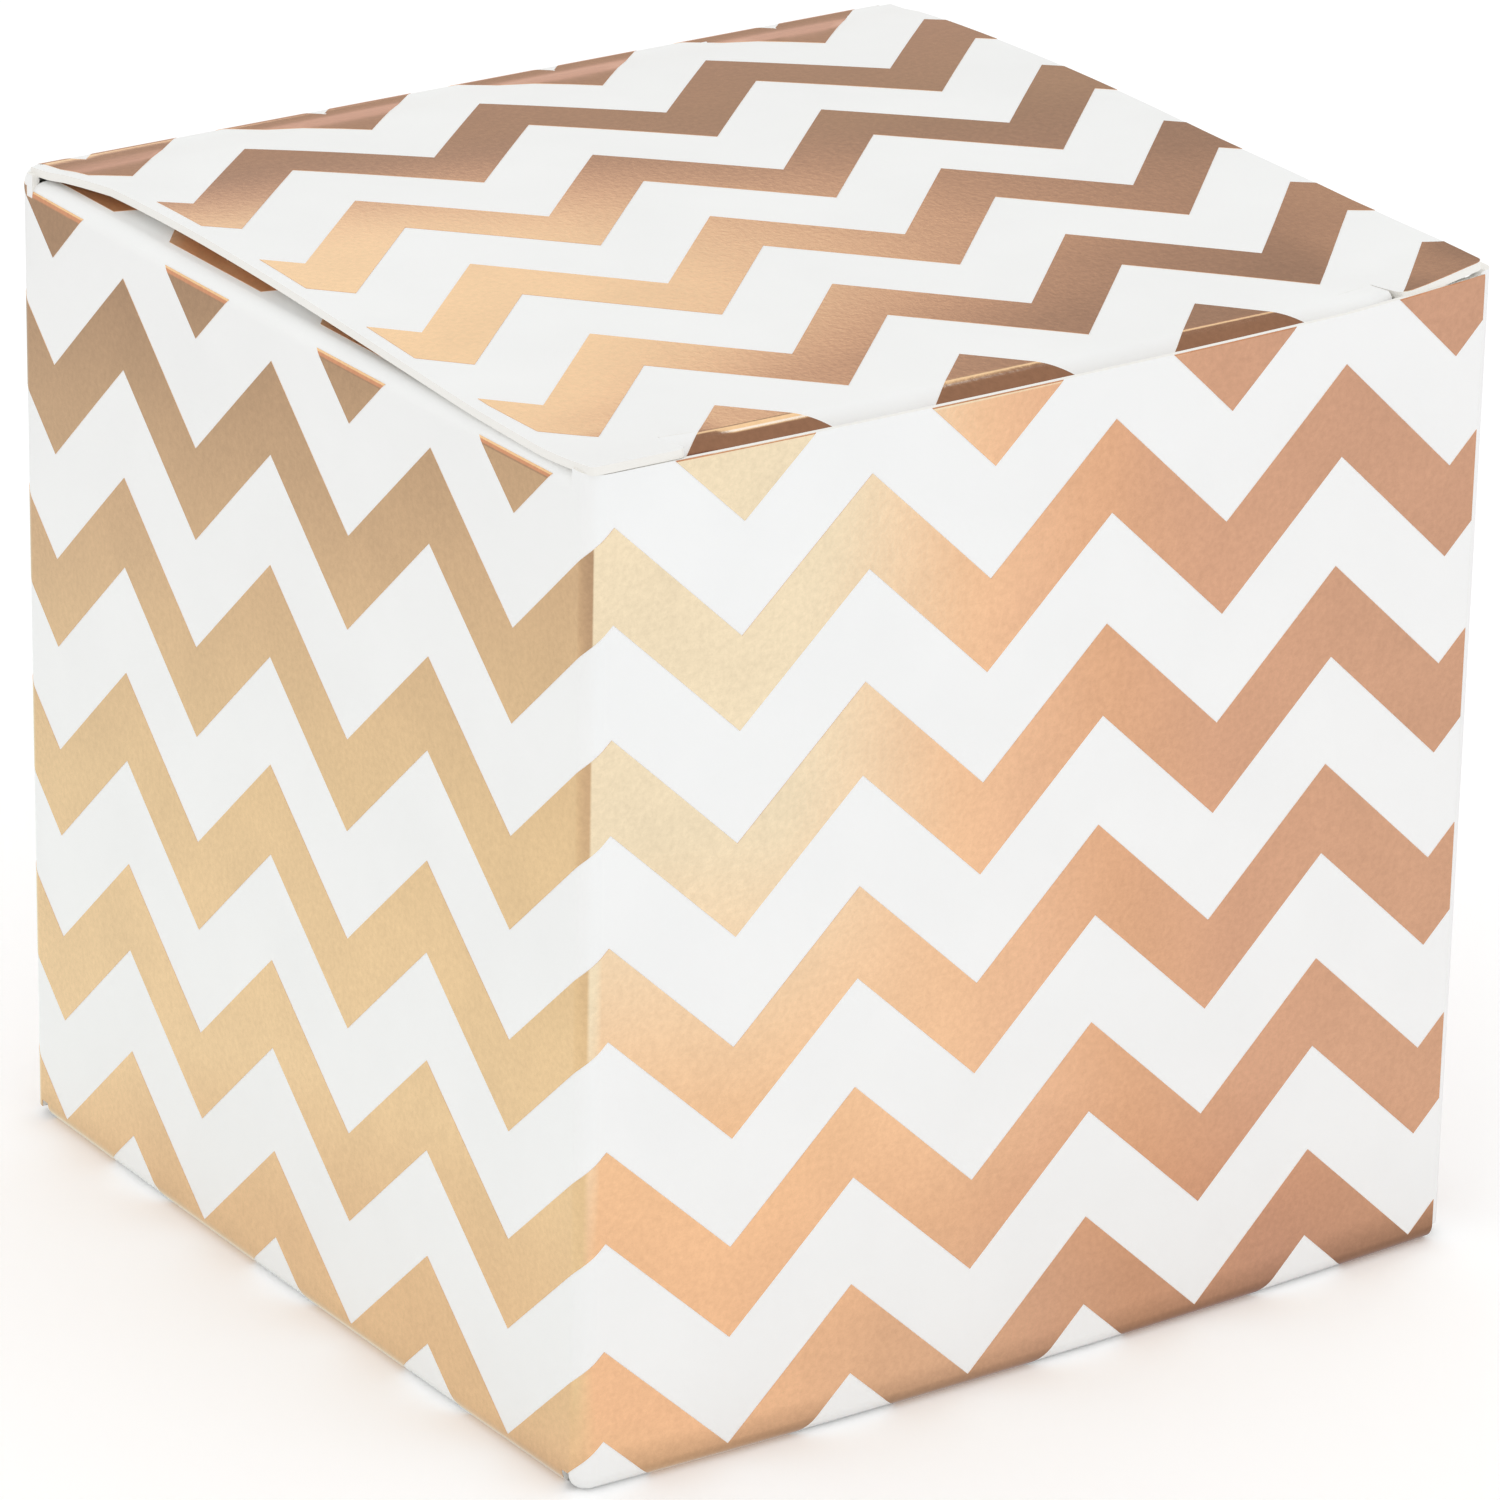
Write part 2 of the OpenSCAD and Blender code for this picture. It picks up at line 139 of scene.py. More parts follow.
# Painted reflection, seen by glossy rays alone: a light panel with a slanting edge
# towards the north-east and a gap across its middle, in a room painted dim above
# and warm towards the horizon.
PANEL_SIDE = (-0.725, 0.197, 0.660)  # across the panel's edge, towards the panel
past_edge = add(tree, "ShaderNodeVectorMath", {"operation": "DOT_PRODUCT"},
                Vector=way, Vector__1=PANEL_SIDE).outputs["Value"]
east, north, height = add(tree, "ShaderNodeSeparateXYZ", Vector=way).outputs
over_gap = add(tree, "ShaderNodeMath", {"operation": "ADD", "use_clamp": True},
               Value=tones(tree, height, UNIT, (0.412, 1), (0.435, 0), (0.54, 0), (0.60, 1)),
               Value__1=tones(tree, north, UNIT, (0.66, 1), (0.70, 0)))
on_panel = add(tree, "ShaderNodeMix", MULTIPLIED, Factor=1.0, A=over_gap,
               B=tones(tree, past_edge, NEAR, (-0.030, 0), (-0.018, 1)))
painted_panel = tones(tree, past_edge, NEAR, (-0.022, (0.42, 0.40, 0.41)),
                    (-0.012, (0.55, 0.49, 0.48)), (-0.004, (0.72, 0.65, 0.62)),
                    (0.002, (0.87, 0.80, 0.75)), (0.008, (1.02, 1.04, 0.97)),
                    (0.015, (1.12, 1.25, 1.15)))
painted_dim_room = tones(tree, height, UNIT, (0.0, (0.82, 0.67, 0.62)), (0.08, (0.70, 0.56, 0.52)),
            (0.14, (0.52, 0.445, 0.405)), (0.20, (0.50, 0.435, 0.40)),
            (0.33, (0.46, 0.44, 0.42)), (0.37, (0.38, 0.36, 0.37)),
            (0.52, (0.37, 0.35, 0.35)), (0.70, (0.74, 0.76, 0.78)),
            (0.95, (0.84, 0.88, 0.92)))
painted_room = add(tree, "ShaderNodeMix", BLENDED, Factor=on_panel, A=painted_dim_room, B=painted_panel)
# A painted highlight, seen by glossy rays alone, stands for a narrow lamp high on
# its right; painted shade darkens the room in front of it and at its right end.
PAINTED_HIGHLIGHT_COLOUR = (1.25, 1.85, 2.6, 1.0)
PAINTED_SHADE_COLOUR = (0.32, 0.25, 0.27, 1.0)
PAINTED_SHADE_DEPTH = 0.27  # how far back the dark reaches at the lamp's right end
aloft = add(tree, "ShaderNodeMix", MULTIPLIED, Factor=1.0,
            A=tones(tree, east, UNIT, (0.20, 0), (0.40, 1), (0.66, 1), (0.70, 0)),
            B=tones(tree, height, UNIT, (0.50, 0), (0.56, 1)))
highlight_end = tones(tree, east, UNIT, (0.560, 0), (0.574, 1))
painted_highlight = add(tree, "ShaderNodeMix", MULTIPLIED, Factor=1.0,
           A=add(tree, "ShaderNodeMix", BLENDED, Factor=highlight_end, A=aloft, B=BLACK),
           B=tones(tree, north, UNIT, (0.37, 0), (0.40, 1), (0.47, 1), (0.51, 0)))
painted_room = add(tree, "ShaderNodeMix", BLENDED, Factor=painted_highlight, A=painted_room, B=PAINTED_HIGHLIGHT_COLOUR)
# Painted shade in the reflection: dark in front of the painted highlight, reaching further back at
# its right end.
set_back = add(tree, "ShaderNodeMath", TIMES, Value=highlight_end, Value__1=PAINTED_SHADE_DEPTH)
forwards = add(tree, "ShaderNodeMath", MINUS, Value=north, Value__1=set_back)
painted_shade_corner = add(tree, "ShaderNodeMix", MULTIPLIED, Factor=1.0, A=aloft,
                  B=tones(tree, forwards, (-0.5, 0.7), (0.30, 1), (0.38, 0)))
painted_darkening = add(tree, "ShaderNodeMix", BLENDED, Factor=painted_shade_corner, A=WHITE, B=PAINTED_SHADE_COLOUR)
painted_room = add(tree, "ShaderNodeMix", MULTIPLIED, Factor=1.0, A=painted_room, B=painted_darkening)
# Glossy rays see the painted reflection; all other rays see the even white sky, which is what
# lights the box.
even = add(tree, "ShaderNodeBackground", Color=WHITE, Strength=1.0)
painted_reflection = add(tree, "ShaderNodeBackground", Color=painted_room, Strength=1.0)
glossy = add(tree, "ShaderNodeMixShader", Fac=ray.outputs["Is Glossy Ray"],
             Shader=even, Shader__1=painted_reflection)
final = add(tree, "ShaderNodeMixShader", Fac=ray.outputs["Is Camera Ray"],
            Shader=glossy, Shader__1=even)
add(tree, "ShaderNodeOutputWorld", Surface=final)

FLOOR_SIZE = 3.0  # metres from the middle to each side
floor_mesh = bpy.data.meshes.new("floor")
floor_mesh.from_pydata(
    [(x * FLOOR_SIZE, y * FLOOR_SIZE, 0) for x, y in ((-1, -1), (1, -1), (1, 1), (-1, 1))],
    [], [(0, 1, 2, 3)])
floor = new_object("floor", floor_mesh)

# White paper sweep: matt, and a shade paler for the camera. To glossy rays alone it
# glows with painted light: a sunlit sheet at the front left with a straight edge, an
# even table at the right, a pool that dims away behind, and painted shade close to
# the box. Places are in metres.
SHEET_SIDE = (0.803, 0.597, 0)  # across the sheet's edge, away from the sheet
HALF_BOX = (0.0255, 0.0252, 0)  # half of the box's footprint
PAPER_COLOUR = (0.98, 0.98, 0.98, 1)
PALER = 0.08
sweep = bpy.data.materials.new("white_paper_sweep")
tree = new_tree(sweep)
ray = add(tree, "ShaderNodeLightPath")
spot = add(tree, "ShaderNodeTexCoord").outputs["Object"]
east, north, _ = add(tree, "ShaderNodeSeparateXYZ", Vector=spot).outputs
reach = add(tree, "ShaderNodeVectorMath", {"operation": "LENGTH"},
            Vector=spot).outputs["Value"]
sheet_edge = add(tree, "ShaderNodeVectorMath", {"operation": "DOT_PRODUCT"},
                 Vector=spot, Vector__1=SHEET_SIDE).outputs["Value"]
# Painted light, seen only in reflections: the sunlit sheet, its edge and the table in front, and
# the pool all round.
painted_sheet_light = tones(tree, reach, (0.02, 0.14), (0.035, (1.08, 1.08, 1.06)),
                    (0.055, (1.1, 1.15, 1.12)), (0.09, (1.1, 1.58, 1.9)))
painted_table_light = tones(tree, reach, (0.02, 0.20), (0.036, (0.64, 0.60, 0.60)),
                    (0.05, (0.80, 0.78, 0.84)), (0.16, (0.76, 0.73, 0.82)))
painted_edge_light = add(
    tree, "ShaderNodeMix", MULTIPLIED, Factor=1.0,
    A=tones(tree, sheet_edge, NEAR, (-0.020, (1.11, 1.18, 1.21)), (-0.015, (1.02, 1.035, 1.09)),
            (-0.010, (0.93, 0.89, 0.89)), (-0.003, (0.85, 0.81, 0.88))),
    B=tones(tree, reach, (0.02, 0.14), (0.034, (0.77, 0.73, 0.74)),
            (0.043, (0.88, 0.82, 0.80)), (0.056, (1.0, 1.0, 1.0))))
painted_front_light = add(tree, "ShaderNodeMix", BLENDED, A=painted_sheet_light, B=painted_edge_light,
                  Factor=tones(tree, sheet_edge, NEAR, (-0.031, 0), (-0.020, 1)))
painted_front_light = add(tree, "ShaderNodeMix", BLENDED, A=painted_front_light, B=painted_table_light,
                  Factor=tones(tree, sheet_edge, NEAR, (-0.003, 0), (0.012, 1)))
painted_light_pool = tones(tree, reach, (0.02, 0.40), (0.03, (0.9, 1.0, 0.92)),
                   (0.045, (1.0, 1.22, 1.16)), (0.08, (0.94, 1.14, 1.07)),
                   (0.12, (0.77, 0.88, 0.86)), (0.17, (0.5, 0.54, 0.56)),
                   (0.19, (0.5, 0.53, 0.55)), (0.26, (0.82, 0.67, 0.63)))
in_front = add(tree, "ShaderNodeMath", MINUS, Value=east, Value__1=north)
front_side = tones(tree, in_front, NEAR, (-0.012, 0), (0.012, 1))
off_middle = add(tree, "ShaderNodeVectorMath", {"operation": "ABSOLUTE"}, Vector=spot)
beyond = add(tree, "ShaderNodeVectorMath", MINUS, Vector=off_middle, Vector__1=HALF_BOX)
beyond_east, beyond_north, _ = add(tree, "ShaderNodeSeparateXYZ", Vector=beyond).outputs
outside = add(tree, "ShaderNodeMath", {"operation": "MAXIMUM"}, Value=beyond_east,
              Value__1=beyond_north)
# Painted shade close to the box, deeper on the front and right, seen only in reflections.
painted_contact_shade = add(tree, "ShaderNodeMix", BLENDED, Factor=front_side,
              A=tones(tree, outside, (0.0, 0.02), (0.0003, 0.9), (0.002, 1)),
              B=tones(tree, outside, (0.0, 0.02), (0.0005, 0.5), (0.004, 1)))
all_round = add(tree, "ShaderNodeMix", BLENDED, Factor=front_side, A=painted_light_pool,
                B=painted_front_light)
painted_floor_light = add(tree, "ShaderNodeMix", MULTIPLIED, Factor=1.0, A=all_round, B=painted_contact_shade)
matt = add(tree, "ShaderNodeBsdfDiffuse", Color=PAPER_COLOUR)
pale = add(tree, "ShaderNodeMath", TIMES, Value=ray.outputs["Is Camera Ray"], Value__1=PALER)
paler = add(tree, "ShaderNodeEmission", Color=WHITE, Strength=pale)
matt = add(tree, "ShaderNodeAddShader", Shader=matt, Shader__1=paler)
# A painted glow that lights nothing: only glossy rays see it.
painted_floor_glow = add(tree, "ShaderNodeEmission", Color=painted_floor_light, Strength=1.0)
mixed = add(tree, "ShaderNodeMixShader", Fac=ray.outputs["Is Glossy Ray"],
            Shader=matt, Shader__1=painted_floor_glow)
add(tree, "ShaderNodeOutputMaterial", Surface=mixed)
floor_mesh.materials.append(sweep)

# Key softbox, to the front right, facing the middle of the box.
KEY_PLACE, KEY_AIM = Vector((0.25, -0.75, 0.55)), Vector((0, 0, 0.025))
key_lamp = bpy.data.lights.new("key_softbox", "AREA")
key_lamp.shape = "SQUARE"
key_lamp.size = 0.5
key_lamp.energy = 0.3
key = new_object("key_softbox", key_lamp)
key.location = KEY_PLACE
key.rotation_euler = (KEY_AIM - KEY_PLACE).to_track_quat("-Z", "Y").to_euler()

# Front wall: the panel with the raw cut edge at the top and at the right. It
# is 16 point folding board, clay-coated white outside, and creased to the
# left wall and to the base. It bows outwards, most at the top and bottom.
LEFT, RIGHT = -25.4, 26.15  # faces of the left and right walls
BOX_W, BOX_D, BOX_H = RIGHT - LEFT, 50.3, 50.7
BOARD = 0.4  # thickness of the board
FOLD = 0.9  # outer radius of every fold
ARC = FOLD * math.pi / 2
FOIL_PROUD = 0.02  # how far the foil stands off the board
BOW_FADE = 12  # the bow dies out this far in from a flap's fold
BASE_FACE = 0.03  # height of the base's outer face
BASE_CREASE = BASE_FACE + FOLD - BOX_H  # where the front starts to turn under
FRONT_TOP = -0.32  # cut edge under the lid's shoulders
FRONT_DIP = -0.42  # the same where it is lowest
FRONT_RISE = 42.5  # where along the wall that is
FRONT_TOP_RIGHT = -0.09  # the same at the wall's right edge
SEAM_INSET = 0.97  # front wall's right edge, in from the right wall's face

# For each wall: its left corner, directions to its right and out of its face, its
# width, the wall at its right, and its outward bow at mid-height with what that
# gains towards the top and bottom.
WALLS = {
    "front": ((LEFT, -BOX_D / 2), (1, 0), (0, -1), BOX_W, "right", (0.37, 0.30)),
    "left": ((LEFT, BOX_D / 2), (0, -1), (-1, 0), BOX_D, "front", (0.38, -0.21)),
    "back": ((RIGHT, BOX_D / 2), (-1, 0), (0, 1), BOX_W, "left", (0.35, -0.35)),
    "right": ((RIGHT, -BOX_D / 2), (0, 1), (1, 0), BOX_D, "back", (0.33, -0.2)),
}


def bow(wall, across, up):
    """How far a wall stands out, from the place across it (mm) and the height."""
    *_, width, _, (middle, ends) = WALLS[wall]
    a = np.clip(2 * across / width - 1, -1, 1)
    b = np.clip(1 + 2 * up / BOX_H, -1, 1)
    return (1 - a * a) * (middle + ends * b * b)


def ease(t):
    """Smooth step from 0 to 1."""
    t = np.clip(t, 0, 1)
    return t * t * (3 - 2 * t)


def sheet_of(wall, top=None, bottom=None, folded=True):
    """Shape of the board of a wall: x runs along the outside from the wall's left
    corner and, where folded, on round the upright fold at its right, y up from
    the box's top. Past top or bottom the sheet turns in over a fold, then runs level."""
    corner, right, out, width, neighbour, _ = WALLS[wall]
    corner, right, out = (np.array(v, float) for v in (corner, right, out))

    def shape(x, y):
        fold_x = width - FOLD if folded else math.inf
        turn = np.clip((x - fold_x) / FOLD, 0, math.pi / 2)
        centre_x = np.minimum(x, fold_x)
        reach, level, inward = np.full_like(x, FOLD), y, np.zeros_like(x)
        for crease, side in ((top, 1), (bottom, -1)):
            if crease is None:
                continue
            past = (y - crease) * side
            lean = np.clip(past / FOLD, 0, math.pi / 2)
            flat = np.maximum(past - ARC, 0)
            bent = past > 0
            reach = np.where(bent, FOLD * np.cos(lean) - flat, reach)
            level = np.where(bent, crease + side * FOLD * np.sin(lean), level)
            inward = np.where(bent, flat, inward)
        across = centre_x + FOLD * np.sin(turn)
        depth = FOLD - FOLD * np.cos(turn)
        fade = 1 - ease(inward / BOW_FADE)
        x_out = centre_x + reach * np.sin(turn)
        z_out = -FOLD + reach * np.cos(turn) + fade * bow(wall, across, level)
        x_out = x_out + bow(neighbour, depth, level) * (turn > 0)
        flat_xy = corner + np.outer(x_out, right) + np.outer(z_out, out)
        return np.column_stack([flat_xy, BOX_H + level])

    return shape


def normals_of(shape, x, y):
    """Outward unit normals of a shape."""
    step = 0.01
    along = shape(x + step, y) - shape(x - step, y)
    up = shape(x, y + step) - shape(x, y - step)
    n = np.cross(along, up)
    return n / np.linalg.norm(n, axis=1)[:, None]


def cut(flat, point, normal, trim=False):
    """Cuts a flat bmesh along a line, and drops what lies past it if asked."""
    bmesh.ops.bisect_plane(
        flat, geom=flat.verts[:] + flat.edges[:] + flat.faces[:], dist=1e-5,
        plane_co=(*point, 0), plane_no=(*normal, 0), clear_outer=trim)


def cut_lines(flat, cuts):
    """Cuts a flat bmesh across at places along x, and at places along y."""
    for x in cuts[0]:
        cut(flat, (x, 0), (1, 0))
    for y in cuts[1]:
        cut(flat, (0, y), (0, 1))


def fold_up(name, flat, cuts, shape, under, over, finishes, lit=None):
    """Folds a flat sheet, a bmesh in the xy plane, into a piece: cuts it along lines,
    lays it on the shape, and thickens it from under to over the outer face.
    finishes are those of face, back and edge. The light follows lit, if given."""
    cut_lines(flat, cuts)
    keys, points, polygons = {}, [], []
    for face in flat.faces:
        ring = []
        for v in face.verts:
            key = (round(v.co.x, 3), round(v.co.y, 3))
            if key not in keys:
                keys[key] = len(points)
                points.append(v.co.xy[:])
            if keys[key] not in ring:
                ring.append(keys[key])
        area = sum(points[a][0] * points[b][1] - points[b][0] * points[a][1]
                   for a, b in zip(ring, ring[1:] + ring[:1]))
        if len(ring) > 2 and abs(area) > 1e-6:
            polygons.append(ring if area > 0 else ring[::-1])
    flat.free()
    xy = np.array(points)
    used = sorted({i for ring in polygons for i in ring})
    number = {old: new for new, old in enumerate(used)}
    xy = xy[used]
    polygons = [[number[i] for i in ring] for ring in polygons]
    place = shape(xy[:, 0], xy[:, 1])
    normal = normals_of(shape, xy[:, 0], xy[:, 1])
    n = len(xy)
    directed = {(a, b) for ring in polygons for a, b in zip(ring, ring[1:] + ring[:1])}
    rim = sorted((a, b) for a, b in directed if (b, a) not in directed)
    verts = np.vstack([place + over * normal, place + under * normal]) * MM
    faces = polygons + [[i + n for i in reversed(ring)] for ring in polygons]
    faces += [(b, a, a + n, b + n) for a, b in rim]
    mesh = bpy.data.meshes.new(name)
    mesh.from_pydata(verts.tolist(), [], faces, shade_flat=False)
    kinds = [0] * len(polygons) + [1] * len(polygons) + [2] * len(rim)
    for finish in finishes:
        mesh.materials.append(finish)
    mesh.polygons.foreach_set("material_index", [min(k, len(finishes) - 1) for k in kinds])
    loop_vert = np.concatenate(faces)
    totals = [len(face) for face in faces]
    loop_kind = np.repeat(kinds, totals)
    face_normals = np.zeros(len(mesh.polygons) * 3)
    mesh.polygons.foreach_get("normal", face_normals)
    flat_normals = np.repeat(face_normals.reshape(-1, 3), totals, axis=0)
    smooth = (normals_of(lit, xy[:, 0], xy[:, 1]) if lit else normal)[loop_vert % n]
    loop_normals = np.where((loop_kind == 0)[:, None], smooth,
                            np.where((loop_kind == 1)[:, None], -smooth, flat_normals))
    mesh.normals_split_custom_set(loop_normals.tolist())
    layer = mesh.uv_layers.new(name="sheet")
    layer.data.foreach_set("uv", (xy[loop_vert % n] * 0.01).ravel())
    return new_object("folded_" + name, mesh)


def settle(piece, slot, *bodies, bend=None):
    """Puts a folded piece in its CAD node's place, on one body, or, with bend given,
    on no body with its place baked in.
    """
    if bend:
        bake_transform(piece)
    else:
        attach(piece, *bodies)
    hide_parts(piece.name.removeprefix("folded_"))


def panel(*outlines):
    """Flat board from outlines that may share edges, each a list of (x, y)."""
    flat = bmesh.new()
    for outline in outlines:
        flat.faces.new([flat.verts.new((x, y, 0)) for x, y in outline])
    return flat


FLAT_STEP = 2.0


def steps(low, high, step=FLAT_STEP):
    """Cut lines from low to high, both included, at most step apart."""
    return np.linspace(low, high, max(2, math.ceil((high - low) / step) + 1)).tolist()


def mottling(tree, grain, detail, rough=0.5):
    """Unevenness that is fixed to the object; grain is its size in mm."""
    place = add(tree, "ShaderNodeTexCoord").outputs["Object"]
    return add(tree, "ShaderNodeTexNoise", Vector=place, Scale=1 / (grain * MM),
               Detail=detail, Roughness=rough)


def spread(tree, mottled, low, high):
    """Mottling, which mostly lies between 0.3 and 0.7, spread from low to high."""
    return add(tree, "ShaderNodeMapRange", Value=mottled, From_Min=0.3, From_Max=0.7,
               To_Min=low, To_Max=high)


def linear(code):
    """Linear colour of an sRGB hex value such as "#F1F1F0"."""
    parts = [int(code[i:i + 2], 16) / 255 for i in (1, 3, 5)]
    return [p / 12.92 if p <= 0.04045 else ((p + 0.055) / 1.055) ** 2.4 for p in parts]


def coat(tree, colour, tone, rough, fibres, depth, metallic=0.0):
    """Surface with its hex colour scaled by a tone, and fibre relief of a depth in mm."""
    hue = add(tree, "ShaderNodeVectorMath", {"operation": "SCALE"},
              Vector=linear(colour), Scale=tone)
    relief = add(tree, "ShaderNodeBump", Height=fibres, Distance=depth * MM, Strength=1.0)
    skin = add(tree, "ShaderNodeBsdfPrincipled", Base_Color=hue, Metallic=metallic,
               Roughness=rough, Normal=relief)
    add(tree, "ShaderNodeOutputMaterial", Surface=skin)


def board_finish(name, colour, rough, grain, depth):
    """Paper-like surface, faintly cloudy. grain is the size of its fibres in mm,
    depth their relief in mm."""
    material = bpy.data.materials.new(name)
    tree = new_tree(material)
    tone = spread(tree, mottling(tree, 6, 2.0), 0.985, 1.01)
    coat(tree, colour, tone, rough, mottling(tree, grain, 4.0, 0.6), depth)
    return material


# Clay-coated face: smooth, bright neutral white with a satin gloss.
coated_face = board_finish("clay_coated_board_face", "#F2F2F1", 0.5, 0.25, 0.002)
# Uncoated back: a little creamier, matt and fibrous.
uncoated_back = board_finish("uncoated_board_back", "#ECEAE4", 0.85, 0.35, 0.01)
# Cut edge: open pulp, matt.
cut_edge = board_finish("cut_pulp_edge", "#F0EEE9", 0.9, 0.12, 0.01)
BOARD_FINISHES = (coated_face, uncoated_back, cut_edge)


def board(name, areas, cuts, shape, *bodies, bend=None):
    """A piece of board, folded and in its place."""
    piece = fold_up(name, panel(*areas), cuts, shape, -BOARD, 0, BOARD_FINISHES)
    settle(piece, "board", *bodies, bend=bend)


front_right = BOX_W - SEAM_INSET
CRUSH, CRUSH_HIGH = 0.03, 0.16  # the die pressed the cut edge back, over this height
CRUSH_START, CRUSH_RAMP = 1, 2  # from here along the wall, setting in over this
CRUSH_STEP = 0.05
front_plain = sheet_of("front", bottom=BASE_CREASE, folded=False)


def front_sheet(x, y):
    """Shape of the front wall, with the crushed edge at its top."""
    place = front_plain(x, y)
    top = np.interp(x, [FOLD, FRONT_RISE, front_right], [FRONT_TOP, FRONT_DIP, FRONT_TOP_RIGHT])
    place[:, 1] += (CRUSH * ease((x - CRUSH_START) / CRUSH_RAMP)
                    * np.clip(1 - (top - y) / CRUSH_HIGH, 0, 1) ** 2)
    return place


front_areas = ([(FOLD, BASE_CREASE), (FRONT_RISE, BASE_CREASE),
                (FRONT_RISE, FRONT_DIP), (FOLD, FRONT_TOP)],
               [(FRONT_RISE, BASE_CREASE), (front_right, BASE_CREASE),
                (front_right, FRONT_TOP_RIGHT), (FRONT_RISE, FRONT_DIP)])
front_cuts = (steps(FOLD, front_right) + [FRONT_RISE],
              steps(BASE_CREASE, FRONT_DIP - CRUSH_HIGH)
              + steps(FRONT_DIP - CRUSH_HIGH, FRONT_TOP_RIGHT, CRUSH_STEP))
board("front_wall", front_areas, front_cuts, front_sheet, "sleeve")

# Left wall, with the upright fold that it shares with the front wall. Creases
# at its top and bottom lead to two dust flaps. The fold ends in a cut at the
# top and rounds under the box at the bottom.
DUST_FACE = 50.18  # height of the top dust flaps
side_low = BASE_CREASE
side_high = DUST_FACE - FOLD - BOX_H
DUST_ROOT = 1.45  # dust flap's root, in from both ends of the wall
CORNER_TOP = -0.25  # top of the strip beside the dust flap's root, at the back
CAP = 0.9 * ARC  # how far an upright fold rounds over at its end
depth_fold = BOX_D - FOLD
FOLD_STEP = ARC / 10


def oblong(x_low, x_high, y_low, y_high):
    """Outline of an oblong."""
    return [(x_low, y_low), (x_high, y_low), (x_high, y_high), (x_low, y_high)]


def fold_cuts(width):
    """Cuts along an upright fold at the right of a wall."""
    return steps(width - FOLD, width - FOLD + ARC, FOLD_STEP)


def left_areas(corner_top):
    """Areas of the left wall; corner_top ends the strip at its back edge."""
    return (oblong(DUST_ROOT, BOX_D - DUST_ROOT, side_low, side_high),
            oblong(FOLD, DUST_ROOT, BASE_CREASE, corner_top),
            oblong(BOX_D - DUST_ROOT, depth_fold, BASE_CREASE, FRONT_TOP),
            oblong(depth_fold, depth_fold + ARC, BASE_CREASE - CAP, FRONT_TOP))


left_sheet = sheet_of("left", bottom=BASE_CREASE)
left_cuts = (steps(DUST_ROOT, BOX_D - DUST_ROOT) + fold_cuts(BOX_D),
             steps(side_low, side_high) + steps(BASE_CREASE - CAP, BASE_CREASE, FOLD_STEP))
board("left_wall", left_areas(CORNER_TOP), left_cuts, left_sheet, "sleeve")

# Back wall, with the upright fold that it shares with the left wall. The lid
# is creased to its top, its lower end is cut off above the base's tuck flap.
LID_CREASE = -FOLD  # where the back wall starts to turn into the lid
BACK_BOTTOM = 0.55 - BOX_H
width_fold = BOX_W - FOLD


def back_areas(fold_top):
    """Areas of the back wall; fold_top ends its upright fold."""
    return (oblong(FOLD, width_fold, BACK_BOTTOM, LID_CREASE),
            oblong(width_fold, width_fold + ARC, BACK_BOTTOM, fold_top))


back_sheet = sheet_of("back", top=LID_CREASE)
back_cuts = (steps(FOLD, width_fold) + fold_cuts(BOX_W),
             steps(BACK_BOTTOM, LID_CREASE) + steps(LID_CREASE, LID_CREASE + CAP, FOLD_STEP))
board("back_wall", back_areas(LID_CREASE + CAP), back_cuts, back_sheet, "sleeve")

# Right wall, with the upright fold that it shares with the back wall. Its own
# left end starts beside the fold of the glue flap.
GLUE = 0.05
SEAM_FOLD = 0.6  # outer radius of the glue flap's fold
right_start = BOARD + GLUE + SEAM_FOLD
right_back_sheet = sheet_of("right", top=LID_CREASE)
right_front_sheet = sheet_of("right")


def right_sheet(x, y):
    """Shape of the right wall: only its back end turns in at the top."""
    return np.where((x > BOX_D / 2)[:, None], right_back_sheet(x, y), right_front_sheet(x, y))


def right_areas(front_top, fold_top):
    """Areas of the right wall, with the tops of its front strip and upright fold."""
    return (oblong(right_start, DUST_ROOT, side_low, front_top),
            oblong(DUST_ROOT, BOX_D - DUST_ROOT, side_low, side_high),
            oblong(BOX_D - DUST_ROOT, depth_fold, BACK_BOTTOM, LID_CREASE),
            oblong(depth_fold, depth_fold + ARC, BACK_BOTTOM, fold_top))


right_cuts = (steps(right_start, BOX_D - DUST_ROOT) + [DUST_ROOT] + fold_cuts(BOX_D),
              steps(side_low, side_high) + [LID_CREASE]
              + steps(LID_CREASE, LID_CREASE + CAP, FOLD_STEP))
board("right_wall", right_areas(FRONT_TOP_RIGHT, LID_CREASE + CAP), right_cuts, right_sheet,
      "sleeve")

# Glue flap: a strip folded off the right wall and glued behind the front
# wall's right edge. Its fold is the white rim beside the front wall.
GLUE_FLAP = 10.0
GLUE_FLAP_TAPER = 3.0
GLUE_FLAP_FOOT = 0.3  # how far its fold reaches below the side walls
seam_arc = SEAM_FOLD * math.pi / 2


def glue_sheet(x, y):
    """Shape of the glue flap: x is negative, leftwards from the right wall."""
    turn = np.clip(-x / SEAM_FOLD, 0, math.pi / 2)
    run = np.maximum(-x - seam_arc, 0)
    east = RIGHT - SEAM_FOLD + SEAM_FOLD * np.cos(turn) - run
    south = -BOX_D / 2 + right_start - SEAM_FOLD * np.sin(turn)
    south = south - bow("front", east - LEFT, y) * (turn > 0)
    east = east + bow("right", south + BOX_D / 2, y)
    return np.column_stack([east, south, BOX_H + y])


